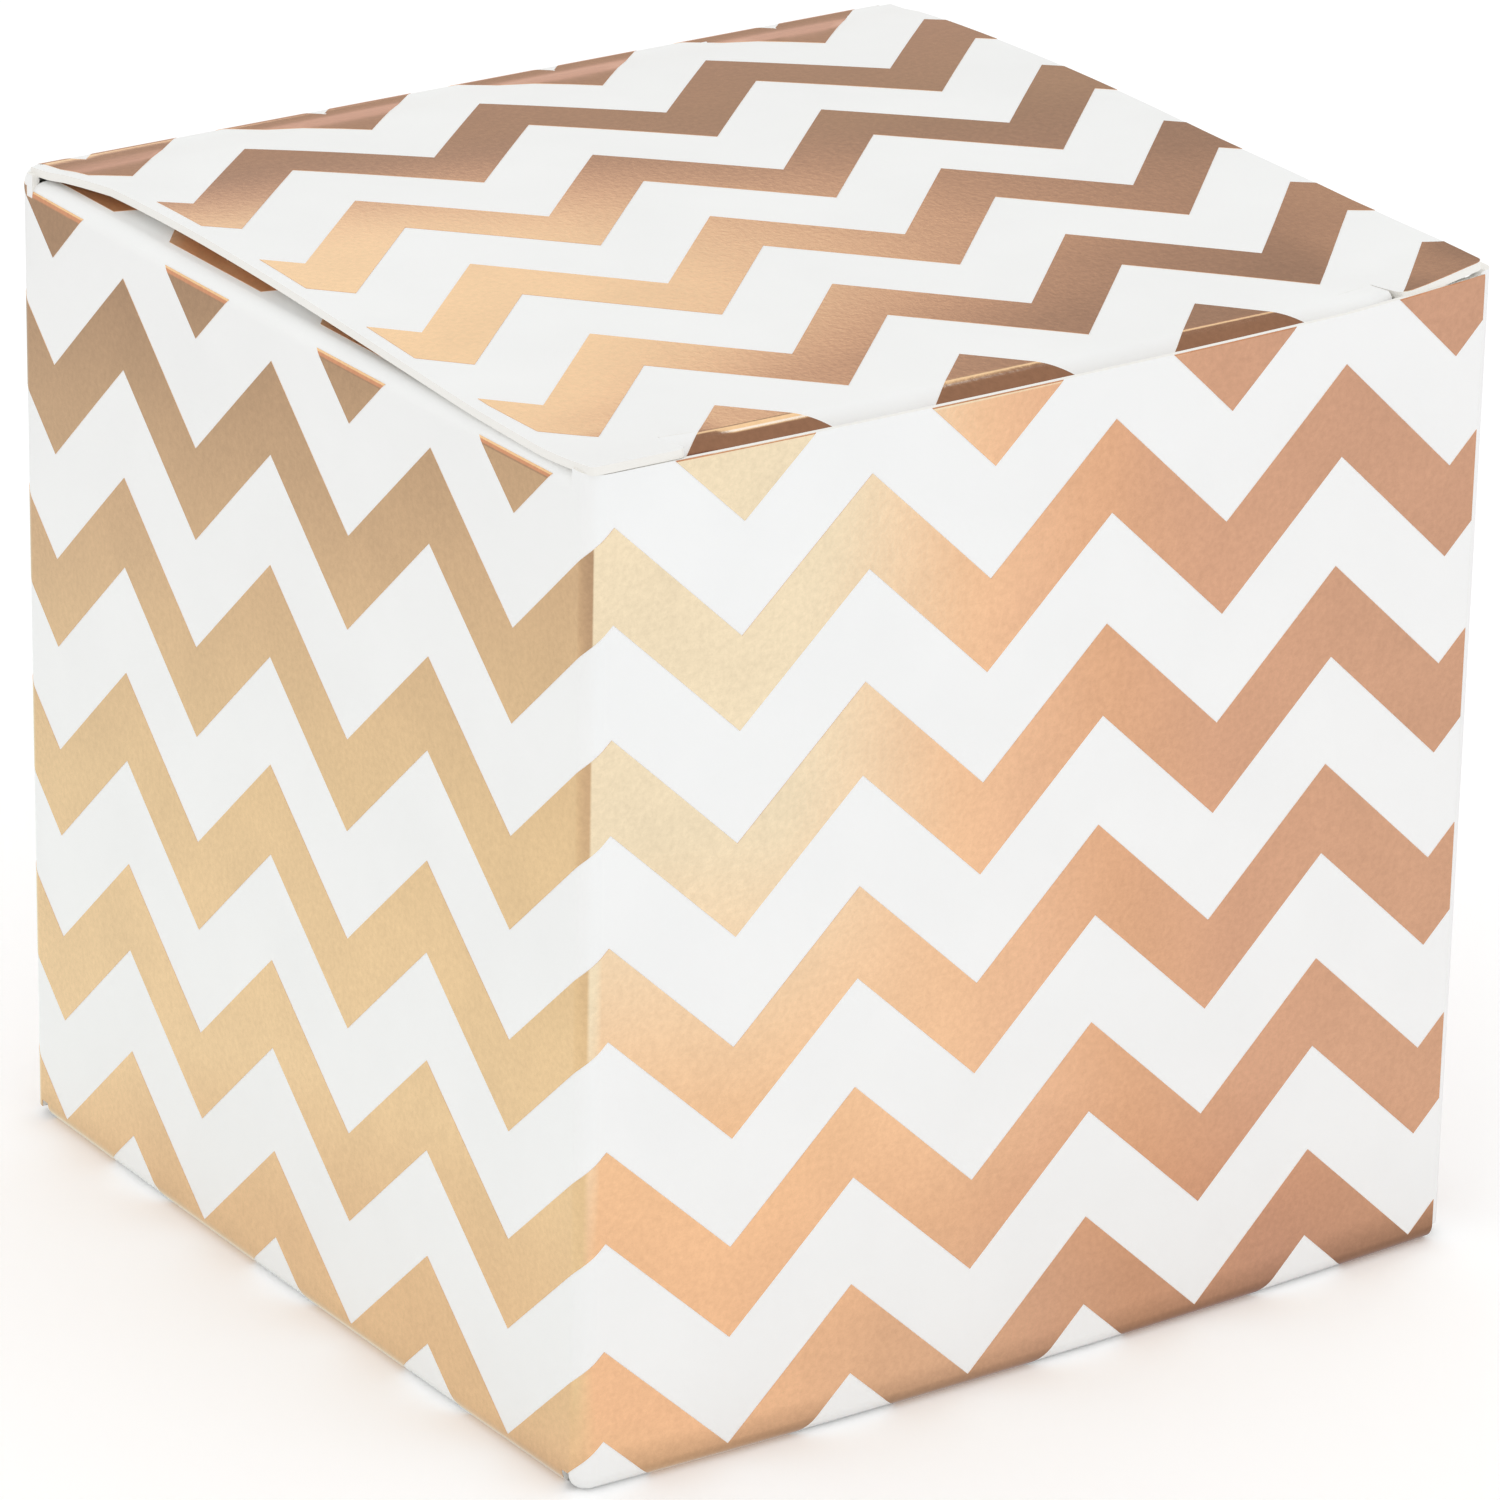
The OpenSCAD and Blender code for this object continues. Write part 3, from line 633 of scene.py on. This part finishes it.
flap_end = -seam_arc - GLUE_FLAP
flap_foot = side_low - GLUE_FLAP_FOOT
board("glue_flap",
      [[(flap_end, side_low + GLUE_FLAP_TAPER), (-seam_arc, flap_foot), (0, flap_foot),
        (0, FRONT_TOP_RIGHT), (-seam_arc, FRONT_TOP_RIGHT),
        (flap_end, side_high - GLUE_FLAP_TAPER)]],
      (steps(flap_end, -seam_arc) + steps(-seam_arc, 0, FOLD_STEP),
       steps(side_low, side_high)), glue_sheet, "sleeve")

# Seam glue: a thin run of dried dispersion glue between the glue flap and
# the back of the front wall, clear of the flap's edges.
GLUE_MARGIN = 1.2
dried_glue = board_finish("dried_dispersion_glue", "#E6DEC6", 0.35, 0.8, 0.01)
seam_glue = fold_up(
    "seam_glue",
    panel(oblong(width_fold - GLUE_FLAP + GLUE_MARGIN, width_fold - GLUE_MARGIN,
                 side_low + GLUE_FLAP_TAPER + GLUE_MARGIN,
                 side_high - GLUE_FLAP_TAPER - GLUE_MARGIN)),
    (steps(width_fold - GLUE_FLAP, width_fold), steps(side_low, side_high)),
    front_sheet, -BOARD - GLUE, -BOARD, (dried_glue,))
settle(seam_glue, "glue", "sleeve")

# Foil of the sleeve. Chevron stripes of rose gold foil, hot-stamped on the
# flat sheet before it was cut and folded, so they run on round the folds.
PERIOD, RISE, PITCH, BAND = 13.64, 6.48, 10.13, 4.61
FOLD_TAKE = 2 * FOLD - ARC  # what a fold saves against a sharp corner
FIRST_PEAK, FIRST_TOP = 1.25, 2.9
left_peak = FIRST_PEAK + BOX_D - FOLD_TAKE
back_peak = left_peak + BOX_W - FOLD_TAKE
right_peak = back_peak + BOX_D - FOLD_TAKE

# Hot-stamped foil: a thin metallised film, so mirror-like, but it follows the fibres
# of the board below, which blurs it and mottles its colour.
rose_gold = bpy.data.materials.new("hot_stamped_rose_gold_foil")
tree = new_tree(rose_gold)
fibres = mottling(tree, 0.3, 4.0, 0.65)
shade = add(tree, "ShaderNodeMath", TIMES, Value=spread(tree, mottling(tree, 5, 3.0), 0.96, 1.03),
            Value__1=spread(tree, fibres, 0.93, 1.06))
coat(tree, "#E9B78F", shade, spread(tree, fibres, 0.06, 0.085), fibres, 0.0017, metallic=1.0)

# Geometry Nodes tree that draws the stripes.
PLUS, OVER = {"operation": "ADD"}, {"operation": "DIVIDE"}
tree = bpy.data.node_groups.new("chevron_stripes", "GeometryNodeTree")
tree.interface.new_socket("Geometry", in_out="OUTPUT", socket_type="NodeSocketGeometry")
CHEVRON_INPUTS = {"Half Period": "Float", "Rise": "Float", "Pitch": "Float", "Band": "Float",
                  "First Peak": "Float", "First Top": "Float", "Half Periods": "Int",
                  "Stripes": "Int", "Finish": "Material"}
chevron_sockets = {}
for label, kind in CHEVRON_INPUTS.items():
    socket = tree.interface.new_socket(label, in_out="INPUT", socket_type="NodeSocket" + kind)
    chevron_sockets[label] = socket.identifier
given = add(tree, "NodeGroupInput").outputs
length = add(tree, "ShaderNodeMath", TIMES, Value=given["Half Period"],
             Value__1=given["Half Periods"])
half_length = add(tree, "ShaderNodeMath", OVER, Value=length, Value__1=2.0)
posts = add(tree, "ShaderNodeMath", PLUS, Value=given["Half Periods"], Value__1=1.0)
strip = add(tree, "GeometryNodeMeshGrid", Size_X=length, Size_Y=given["Band"],
            Vertices_X=posts, Vertices_Y=2)
spot = add(tree, "ShaderNodeSeparateXYZ", Vector=add(tree, "GeometryNodeInputPosition"))
along = add(tree, "ShaderNodeMath", PLUS, Value=spot, Value__1=half_length)
from_peak = add(tree, "ShaderNodeMath", OVER, Value=along, Value__1=given["Half Period"])
slant = add(tree, "ShaderNodeMath", {"operation": "PINGPONG"}, Value=from_peak, Value__1=1.0)
dip = add(tree, "ShaderNodeMath", TIMES, Value=slant, Value__1=given["Rise"])
half_band = add(tree, "ShaderNodeMath", OVER, Value=given["Band"], Value__1=2.0)
band_middle = add(tree, "ShaderNodeMath", PLUS, Value=given["First Top"], Value__1=half_band)
band_height = add(tree, "ShaderNodeMath", TIMES, Value=band_middle, Value__1=-1.0)
zigzag = add(tree, "ShaderNodeCombineXYZ",
             X=add(tree, "ShaderNodeMath", PLUS, Value=half_length, Value__1=given["First Peak"]),
             Y=add(tree, "ShaderNodeMath", MINUS, Value=band_height, Value__1=dip))
stripe = add(tree, "GeometryNodeSetPosition", Geometry=strip, Offset=zigzag)
rung = add(tree, "ShaderNodeMath", TIMES, Value=given["Pitch"], Value__1=-1.0)
ladder = add(tree, "GeometryNodeMeshLine", Count=given["Stripes"],
             Offset=add(tree, "ShaderNodeCombineXYZ", Y=rung))
copies = add(tree, "GeometryNodeInstanceOnPoints", Points=ladder, Instance=stripe)
plain = add(tree, "GeometryNodeRealizeInstances", Geometry=copies)
finished = add(tree, "GeometryNodeSetMaterial", Geometry=plain, Material=given["Finish"])
add(tree, "NodeGroupOutput", Geometry=finished)
chevron_tree = tree

PAST_LEFT, PAST_RIGHT = 2, 4  # how far stripes are drawn past a sheet's sides
SPARE = 2  # stripes drawn past its top and its bottom


def stripes(peak, low, high=0, first_top=FIRST_TOP, half=PERIOD / 2, band=BAND):
    """Flat mesh of the stripes that cross a sheet between two heights."""
    start = peak - 2 * half * math.ceil((peak + PAST_LEFT) / (2 * half))
    skip = math.floor((-high - first_top) / PITCH) - SPARE
    count = math.ceil((high - low + RISE + band) / PITCH) + 2 * SPARE
    holder = new_object("stripes", bpy.data.meshes.new("stripes"))
    grower = holder.modifiers.new("chevrons", "NODES")
    grower.node_group = chevron_tree
    values = {"Half Period": half, "Rise": RISE, "Pitch": PITCH, "Band": band,
              "First Peak": start, "First Top": first_top + skip * PITCH,
              "Half Periods": math.ceil((BOX_W + PAST_RIGHT - start) / half) + 1,
              "Stripes": count, "Finish": rose_gold}
    for label, value in values.items():
        grower[chevron_sockets[label]] = value
    evaluated = holder.evaluated_get(bpy.context.evaluated_depsgraph_get())
    mesh = bpy.data.meshes.new_from_object(evaluated)
    bpy.data.objects.remove(holder)
    return mesh


def stamped(mesh, areas):
    """The part of the stripes inside convex areas that may share edges."""
    flat = bmesh.new()
    for area in areas:
        part = bmesh.new()
        part.from_mesh(mesh)
        for (ax, ay), (bx, by) in zip(area, area[1:] + area[:1]):
            cut(part, (ax, ay), (by - ay, ax - bx), trim=True)
        for face in part.faces:
            flat.faces.new([flat.verts.new(v.co) for v in face.verts])
        part.free()
    bpy.data.meshes.remove(mesh)
    return flat


def foil(name, mesh, areas, cuts, shape, *bodies, bend=None, lit=None):
    """A piece of foil, stamped from stripes, folded and in its place."""
    piece = fold_up(name, stamped(mesh, areas), cuts, shape, -FOIL_PROUD / 2, FOIL_PROUD,
                    (rose_gold,), lit)
    settle(piece, "foil", *bodies, bend=bend)


foil("front_foil", stripes(FIRST_PEAK, BASE_CREASE), front_areas, front_cuts, front_sheet, "sleeve")
foil("left_foil", stripes(left_peak, BASE_CREASE - CAP), left_areas(side_high),
     left_cuts, left_sheet, "sleeve")

# The back wall's stripes drift towards the top, to meet the lid's at the crease.
DRIFT_ACROSS, DRIFT_UP = 0.8, -1.79
DRIFT_START = -26.0  # height where they start to drift
DRIFT_MARGIN = 9.0  # beside the folds they stay in place, over this width
FRONT_BARE = 1.0  # bare top of the right wall's front strip


def drifted(mesh):
    """The back wall's stripes, drifted."""
    flat = bmesh.new()
    flat.from_mesh(mesh)
    cut_lines(flat, (steps(0, BOX_W), steps(DRIFT_START, LID_CREASE)))
    for v in flat.verts:
        weight = float(ease((v.co.y - DRIFT_START) / (LID_CREASE - DRIFT_START))
                       * ease(v.co.x / DRIFT_MARGIN) * ease((BOX_W - v.co.x) / DRIFT_MARGIN))
        v.co.x += DRIFT_ACROSS * weight
        v.co.y += DRIFT_UP * weight
    flat.to_mesh(mesh)
    flat.free()
    return mesh


foil("back_foil", drifted(stripes(back_peak, BACK_BOTTOM)), back_areas(LID_CREASE),
     back_cuts, back_sheet, "sleeve")
foil("right_foil", stripes(right_peak, BACK_BOTTOM),
     right_areas(FRONT_TOP_RIGHT - FRONT_BARE, LID_CREASE), right_cuts, right_sheet, "sleeve")

# Lid: hinged on its crease with the back wall. It bellies up behind its
# middle, and two lock shoulders at its front lie on the front wall's edge.
# Its left edge draws in from the left wall towards the back.
SLIT = 20.25  # place of both slits, from the middle
SHOULDER_R = 0.5
SLIT_END = 2.4
SIDE_GAP = 0.1
RELIEF, RELIEF_START, RELIEF_END = 1.1, 9.56, 43.26  # of its left edge
RIGHT_BENDS = (4.2, 22.0)  # where its right edge bends, from the front
BACK_FLAT = BOX_D - FOLD
# Its belly: rows by powers of the place across it, columns by powers of the
# place from front to back, both from -1 to 1.
BELLY = ((0.381, 0.870, -0.608, -0.529), (0, -0.029, -0.112, 0.196),
         (0.161, -0.081, -0.217, 0))
BELLY_FADE = 3  # the belly dies out this close to the crease
LIP, LIP_END = 0.08, 6  # droop of its front edge, and how far back it reaches
SPRING, SPRING_FROM, SPRING_WIDTH, SPRING_END = 0.65, 19.5, 6.5, 12  # right corner
CURL, CURL_FROM, CURL_START, CURL_FADE = 0.0075, 20, 9, 15  # of its right edge
SHOULDER_RIGHT, SHOULDER_LEFT = 0.70, 0.47  # height of the shoulders' front edges
SHOULDER_FROM, SHOULDER_WIDTH, SHOULDER_END, SHOULDER_POWER = 17, 3.25, 4.5, 1.5


def lid_height(x, d, share=1.0):
    """Height of the lid's face over the box's nominal top, from the place across
    it (from its right edge) and the distance from the front. share is how much
    its front corners spring up."""
    east = RIGHT - x
    a = (east - LEFT) / -LEFT - 1
    b = 2 * d / BOX_D - 1
    belly = (np.polynomial.polynomial.polyval2d(a, b, BELLY)
             - LIP * (1 - np.minimum(d / LIP_END, 1)) ** 2)
    corner = (SPRING * ease((east - SPRING_FROM) / SPRING_WIDTH) * (1 - ease(d / SPRING_END))
              + CURL * np.maximum(east - CURL_FROM, 0) ** 2
              * (1 - ease((d - CURL_START) / CURL_FADE)))
    shoulder = (ease((np.abs(east) - SHOULDER_FROM) / SHOULDER_WIDTH)
                * np.where(east > 0, SHOULDER_RIGHT, SHOULDER_LEFT)
                * (1 - np.minimum(d / SHOULDER_END, 1)) ** SHOULDER_POWER)
    before_crease = 1 - ease((d - BACK_FLAT + BELLY_FADE) / BELLY_FADE)
    return (belly + share * corner) * before_crease + share * shoulder


def lid_sheet(x, y, share=1.0):
    """Shape of the lid: x from its right edge, y back from the front, negative,
    and on over the crease down to the back wall."""
    d = -y
    lean = np.clip((d - BACK_FLAT) / FOLD, 0, math.pi / 2)
    run = np.maximum(d - BACK_FLAT - ARC, 0)
    flat_d = np.minimum(d, BACK_FLAT)
    north = -BOX_D / 2 + flat_d + FOLD * np.sin(lean)
    high = BOX_H + lid_height(x, flat_d, share) - FOLD * (1 - np.cos(lean)) - run
    return np.column_stack([RIGHT - x, north, high])


def rounded(points, radii, count=6):
    """An outline with its corners rounded."""
    result = []
    for i, (p, r) in enumerate(zip(points, radii)):
        if not r:
            result.append(p)
            continue
        p, q, s = (np.array(v, float) for v in (p, points[i - 1], points[(i + 1) % len(points)]))
        to_q, to_s = (q - p) / np.linalg.norm(q - p), (s - p) / np.linalg.norm(s - p)
        half = math.acos(float(np.clip(to_q @ to_s, -1, 1))) / 2
        centre = p + (to_q + to_s) / np.linalg.norm(to_q + to_s) * r / math.sin(half)
        first = p + to_q * r / math.tan(half) - centre
        last = p + to_s * r / math.tan(half) - centre
        for t in np.linspace(0, 1, count + 1):
            v = first * (1 - t) + last * t
            result.append(tuple(centre + v / np.linalg.norm(v) * r))
    return result


def lid_left(d):
    """Where the lid's left edge lies, from the right wall's face."""
    return BOX_W - float(np.interp(d, [RELIEF_START, RELIEF_END, BOX_D],
                                   [SIDE_GAP, RELIEF, SIDE_GAP]))


def lid_right(d):
    """Where the lid's right edge lies, in from the right wall's face."""
    near, far = RIGHT_BENDS
    return float(np.interp(d, [0, 1.0, SLIT_END, near, RELIEF_START, far],
                           [1.1, 0.85, 0.5, 0.12, -0.05, 0.1]))


def plate_bands(low, high, slits, fold_ends, ends, corners, measure):
    """Convex bands of the lid or base, from its tuck side to its crease: low and
    high give its side edges, slits the places of its slits, then come the ends of
    its fold, where its sides bend, and the radii of its corners. measure turns
    the distance from the tuck side into the sheet's own y."""
    bands = [rounded([(low(0), 0), (slits[0], 0), (slits[0], SLIT_END),
                      (low(SLIT_END), SLIT_END)], [corners[0], SHOULDER_R, 0, 0]),
             rounded([(slits[1], 0), (high(0), 0), (high(0), SLIT_END),
                      (slits[1], SLIT_END)], [SHOULDER_R, corners[1], 0, 0])]
    bands += [[(low(a), a), (high(a), a), (high(b), b), (low(b), b)]
              for a, b in zip(ends, ends[1:])]
    bands.append(oblong(*fold_ends, BACK_FLAT, BACK_FLAT + ARC))
    turn = 1 if measure(1) > measure(0) else -1
    return [[(x, measure(d)) for x, d in band][::turn] for band in bands]


def lid_bands(left):
    """Bands of the lid, whose left edge is given."""
    return plate_bands(lid_right, left, lid_slits, (FOLD, width_fold),
                       (SLIT_END, RIGHT_BENDS[0], RELIEF_START, RIGHT_BENDS[1],
                        RELIEF_END, BACK_FLAT), LID_CORNERS, lambda d: -d)


LID_STEP = 1.3
EDGE_STEP = 0.4  # closer together in front of the slits' ends and in the strip
RIGHT_STRIP = (-0.2, 2)  # along its right edge
LID_CORNERS = (0.6, 0.25)
lid_slits = (RIGHT - SLIT, RIGHT + SLIT)
lid_cuts = (steps(*lid_slits, LID_STEP) + steps(RIGHT_STRIP[1], lid_slits[0], LID_STEP)
            + steps(*RIGHT_STRIP, EDGE_STEP) + steps(lid_slits[1], BOX_W, LID_STEP)
            + [FOLD, width_fold],
            steps(-BACK_FLAT, -SLIT_END, LID_STEP) + steps(-SLIT_END, 0, EDGE_STEP)
            + steps(-BACK_FLAT - ARC, -BACK_FLAT, FOLD_STEP))
LID_BEND = ((0, BOX_D / 2, BOX_H - FOLD), (0, BOX_D / 2 - FOLD, BOX_H))
board("lid_panel", lid_bands(lid_left), lid_cuts, lid_sheet, "sleeve", "lid", bend=LID_BEND)

# Foil of the lid. It reaches the right edge and runs over the back crease,
# but stops short of the left edge, where the sheet was cut beside a print gap.
# The board is stretched a little there, so its stripes are finer.
LID_PEAK = RIGHT + 22.36
LID_STRIPES = dict(first_top=3.95, half=6.80, band=4.46)
BARE_EDGE, BARE_MORE = 0.75, 0.5  # width of the gap, and what the front adds
LIT_SHARE = 0.2  # share of the corners' spring in the shape that is lit


def foil_left(d):
    """Where the lid's foil ends on the left, from the right wall's face."""
    return lid_left(d) - BARE_EDGE - BARE_MORE * max(0, 1 - d / RELIEF_START)


foil("lid_foil", stripes(LID_PEAK, -BACK_FLAT - ARC, **LID_STRIPES),
     lid_bands(foil_left), lid_cuts, lid_sheet, "sleeve", "lid", bend=LID_BEND,
     lit=lambda x, y: lid_sheet(x, y, LIT_SHARE))

# Lid tuck flap: between the slits the lid rolls down behind the front wall
# and ends in a flap with round corners that leans a little inwards.
TUCK_HALF, TUCK_TAPER, TUCK_R = 20.2, 0.8, 5.0
TUCK_ROLL = 2.5  # distance from the front where the roll starts
TUCK_RADIUS = 1.95
TIGHT_RADIUS = 0.45  # the lid's roll at the right slit
TIGHT_FROM, TIGHT_WIDTH = 16.5, 3.7  # from here east it tightens, over this width
TUCK_TURN = math.radians(95)
TUCK_LENGTH = 15.0  # from the roll's start
TUCK_BENT = (0.5, 2.0)  # where its bend ends, in from the box's face and down
ROLL_STEP = 0.15
tuck_arc = TUCK_RADIUS * TUCK_TURN


def roll(run, radius=TUCK_RADIUS):
    """Forward and downward way along the roll and the flap below it."""
    turn = np.clip(run / radius, 0, TUCK_TURN)
    rest = np.maximum(run - radius * TUCK_TURN, 0)
    return (radius * np.sin(turn) + rest * math.cos(TUCK_TURN) + np.minimum(run, 0),
            radius * (1 - np.cos(turn)) + rest * math.sin(TUCK_TURN))


def lid_tuck_sheet(x, y):
    """Shape of the lid's tuck flap, in the lid's own measures."""
    tight = ease((RIGHT - x - TIGHT_FROM) / TIGHT_WIDTH)
    radius = TUCK_RADIUS - (TUCK_RADIUS - TIGHT_RADIUS) * tight
    start = TUCK_ROLL - TUCK_RADIUS + radius
    forward, drop = roll(y + start, radius)
    return np.column_stack([RIGHT - x, -BOX_D / 2 + start - forward,
                            BOX_H + lid_height(x, np.maximum(-y, start)) - drop])


def tuck_outline(centre, start, end):
    """Outline of a tuck flap between two heights of its sheet."""
    points = [(centre - TUCK_HALF, start), (centre + TUCK_HALF, start),
              (centre + TUCK_HALF - TUCK_TAPER, end),
              (centre - TUCK_HALF + TUCK_TAPER, end)]
    points = rounded(points, [0, 0, TUCK_R, TUCK_R], 10)
    return points if end > start else points[::-1]


tuck_end = TUCK_LENGTH - TUCK_ROLL
lid_tuck_shape = tuck_outline(RIGHT, -SLIT_END, tuck_end)
lid_tuck_cuts = (steps(RIGHT - TUCK_HALF, RIGHT + TUCK_HALF),
                 steps(-TUCK_ROLL, tuck_arc - TUCK_ROLL, ROLL_STEP)
                 + steps(tuck_arc - TUCK_ROLL, tuck_end))
TUCK_BEND = ((0, -BOX_D / 2 + TUCK_ROLL, BOX_H),
             (0, -BOX_D / 2 + TUCK_BENT[0], BOX_H - TUCK_BENT[1]))
board("lid_tuck_flap", [lid_tuck_shape], lid_tuck_cuts, lid_tuck_sheet, "lid", "lid_tuck",
      bend=TUCK_BEND)

# Foil of the lid's tuck flap: the lid's own stripes, stamped with them and
# running down over the roll.
foil("lid_tuck_foil", stripes(LID_PEAK, -SLIT_END, tuck_end, **LID_STRIPES),
     [lid_tuck_shape], lid_tuck_cuts, lid_tuck_sheet, "lid", "lid_tuck", bend=TUCK_BEND)

# Dust flaps: four tongues folded in from the tops and bottoms of the side
# walls, under the lid and over the base. Each slopes beside the hinge of its
# lid and steps in at the tuck side. Above its wall the fold is left bare.
DUST_LENGTH = 22.0  # from the crease's middle
DUST_STEP, DUST_STEP_INSET, DUST_TIP_INSET = 5.0, 3.2, 6.0
DUST_SLOPE = 1.75  # its sloping side rises this much per mm across
DUST_STEP_R, DUST_TIP_R = 1, 3
DUST_BARE = 0.12  # bare strip on the flap beside the crease
FOLD_FOIL = 0.35  # how far a side wall's foil climbs its top fold
DUST_SPRING = 4.0  # a top flap reaches the lid this far in
SPRING_STEP = 0.25
LID_AIR, BASE_AIR = 0.04, 0.08  # left between a flap and the lid or the base
BASE_INSET = 2.2  # base's side edges, in from the side walls
CLIMB_END = 0.1  # a bottom flap has climbed this far before the base's edge


def dust_flap(name, wall, side, peak):
    """Board and foil of one dust flap, at the top (side 1) or bottom (-1)."""
    crease = side_high if side > 0 else side_low
    root = crease + side * ARC
    sheet = sheet_of(wall, **{"top" if side > 0 else "bottom": crease}, folded=False)

    def shape(x, y):
        """The flap's sheet. A top flap springs up against the lid, a bottom one
        climbs over the base."""
        place = sheet(x, y)
        run = np.maximum((y - crease) * side - ARC, 0)
        if side > 0:
            under = BOX_H - BOARD - LID_AIR + lid_height(
                RIGHT - place[:, 0], place[:, 1] + BOX_D / 2, float(wall == "left"))
            spring = np.sin(np.minimum(run / DUST_SPRING, 1) * math.pi / 2)
            place[:, 2] += np.maximum(under - place[:, 2], 0) * spring
            place[:, 2] = np.minimum(place[:, 2], under)
        else:
            place[:, 2] += (BOARD + BASE_AIR) * ease(run / (BASE_INSET - FOLD - CLIMB_END))
        return place

    def up(distance):
        """The sheet's y at a distance from the crease's middle."""
        return crease + side * (ARC + distance - FOLD + BOARD / 2)

    slope = [(DUST_ROOT + d / DUST_SLOPE, up(d)) for d in (0, DUST_STEP, DUST_LENGTH)]
    bands = [rounded([(DUST_ROOT, crease), (BOX_D - DUST_ROOT, crease),
                      (BOX_D - DUST_ROOT, up(DUST_STEP)), slope[1], slope[0]],
                     [0, 0, DUST_STEP_R, 0, 0]),
             rounded([slope[1], (BOX_D - DUST_STEP_INSET, up(DUST_STEP)),
                      (BOX_D - DUST_TIP_INSET, up(DUST_LENGTH)), slope[2]],
                     [0, 0, DUST_TIP_R, DUST_TIP_R])]
    if (wall == "left") != (side > 0):
        bands = [[(BOX_D - x, y) for x, y in band] for band in bands]
    if wall == "right":
        bands = [band[::-1] for band in bands]
    ends = sorted((crease, up(DUST_LENGTH)))
    cuts = (steps(0, BOX_D)
            + [q for p in (DUST_ROOT, DUST_STEP_INSET) for q in (p, BOX_D - p)],
            steps(*ends) + steps(*sorted((crease, root)), FOLD_STEP)
            + steps(*sorted((root, root + side * DUST_SPRING)), SPRING_STEP))
    covered = [ends]
    if side > 0:
        covered = [(crease, crease + FOLD_FOIL), (root + DUST_BARE, ends[1])]
    parts = []
    for low, high in covered:
        flat = panel(*bands)
        cut(flat, (0, low), (0, -1), trim=True)
        cut(flat, (0, high), (0, 1), trim=True)
        parts += [[v.co.xy[:] for v in face.verts] for face in flat.faces]
        flat.free()
    corner, _, out, *_ = WALLS[wall]
    bend = ((corner[0], 0, BOX_H + crease),
            (corner[0] - out[0] * FOLD, 0, BOX_H + crease + side * FOLD))
    board(name + "_flap", bands, cuts, shape, "sleeve", name, bend=bend)
    foil(name + "_foil", stripes(peak, *ends), parts, cuts, shape, "sleeve", name, bend=bend)


dust_flap("top_left_dust", "left", 1, left_peak)
dust_flap("top_right_dust", "right", 1, right_peak)
dust_flap("bottom_left_dust", "left", -1, left_peak)
dust_flap("bottom_right_dust", "right", -1, right_peak)

# Base: like the lid, but hinged on its crease with the front wall, whose
# stripes run on over the fold. Its side edges clear the side walls.
BASE_CORNERS = (0.9, 0.9)
base_ends = (SLIT_END, BOX_D / 2, BACK_FLAT - DUST_ROOT, BACK_FLAT)


def base_side(d, crease_end):
    """How far a side edge of the base lies in from the side wall."""
    return float(np.interp(d, base_ends[2:], [BASE_INSET, crease_end]))


def base_measure(d):
    """Sheet measure of the base from the distance to its tuck side."""
    return BASE_CREASE - ARC - (BACK_FLAT - d)


base_bands = plate_bands(lambda d: base_side(d, FOLD),
                         lambda d: BOX_W - base_side(d, SEAM_INSET),
                         (-SLIT - LEFT, SLIT - LEFT), (FOLD, front_right),
                         base_ends, BASE_CORNERS, base_measure)
base_cuts = (steps(0, BOX_W) + [FOLD, front_right],
             steps(base_measure(SLIT_END), base_measure(BACK_FLAT))
             + [base_measure(SLIT_END / 2)] + steps(BASE_CREASE - ARC, BASE_CREASE, FOLD_STEP))
BASE_BEND = ((0, -BOX_D / 2, BASE_FACE + FOLD), (0, -BOX_D / 2 + FOLD, BASE_FACE))
board("base_panel", base_bands, base_cuts, front_sheet, "sleeve", "base", bend=BASE_BEND)

# Foil of the base: the front wall's stripes, stamped with them and carried on
# round the fold. The box stands on it.
foil("base_foil", stripes(FIRST_PEAK, base_measure(0), BASE_CREASE), base_bands, base_cuts,
     front_sheet, "sleeve", "base", bend=BASE_BEND)

# Base tuck flap: the same board, rolled up behind the back wall, which holds it,
# and its foil with the base's stripes.
roll_start = base_measure(TUCK_ROLL)
roll_end = roll_start - tuck_arc
base_tuck_ends = (base_measure(SLIT_END), roll_start - TUCK_LENGTH)


def base_tuck_sheet(x, y):
    """Shape of the base's tuck flap, in the base's own measures."""
    forward, drop = roll(roll_start - y)
    return np.column_stack([x + LEFT, BOX_D / 2 - TUCK_ROLL + forward, BASE_FACE + drop])


base_tuck_shape = tuck_outline(-LEFT, *base_tuck_ends)
base_tuck_cuts = (steps(-LEFT - TUCK_HALF, -LEFT + TUCK_HALF),
                  steps(roll_end, roll_start, ROLL_STEP) + steps(base_tuck_ends[1], roll_end))
BASE_TUCK_BEND = ((0, BOX_D / 2 - TUCK_ROLL, BASE_FACE),
                  (0, BOX_D / 2 - TUCK_BENT[0], BASE_FACE + TUCK_BENT[1]))
board("base_tuck_flap", [base_tuck_shape], base_tuck_cuts, base_tuck_sheet,
      "base", "base_tuck", bend=BASE_TUCK_BEND)
foil("base_tuck_foil", stripes(FIRST_PEAK, *base_tuck_ends[::-1]), [base_tuck_shape],
     base_tuck_cuts, base_tuck_sheet, "base", "base_tuck", bend=BASE_TUCK_BEND)

# Render settings that belong to the look.
bpy.context.scene.view_settings.view_transform = "Standard"
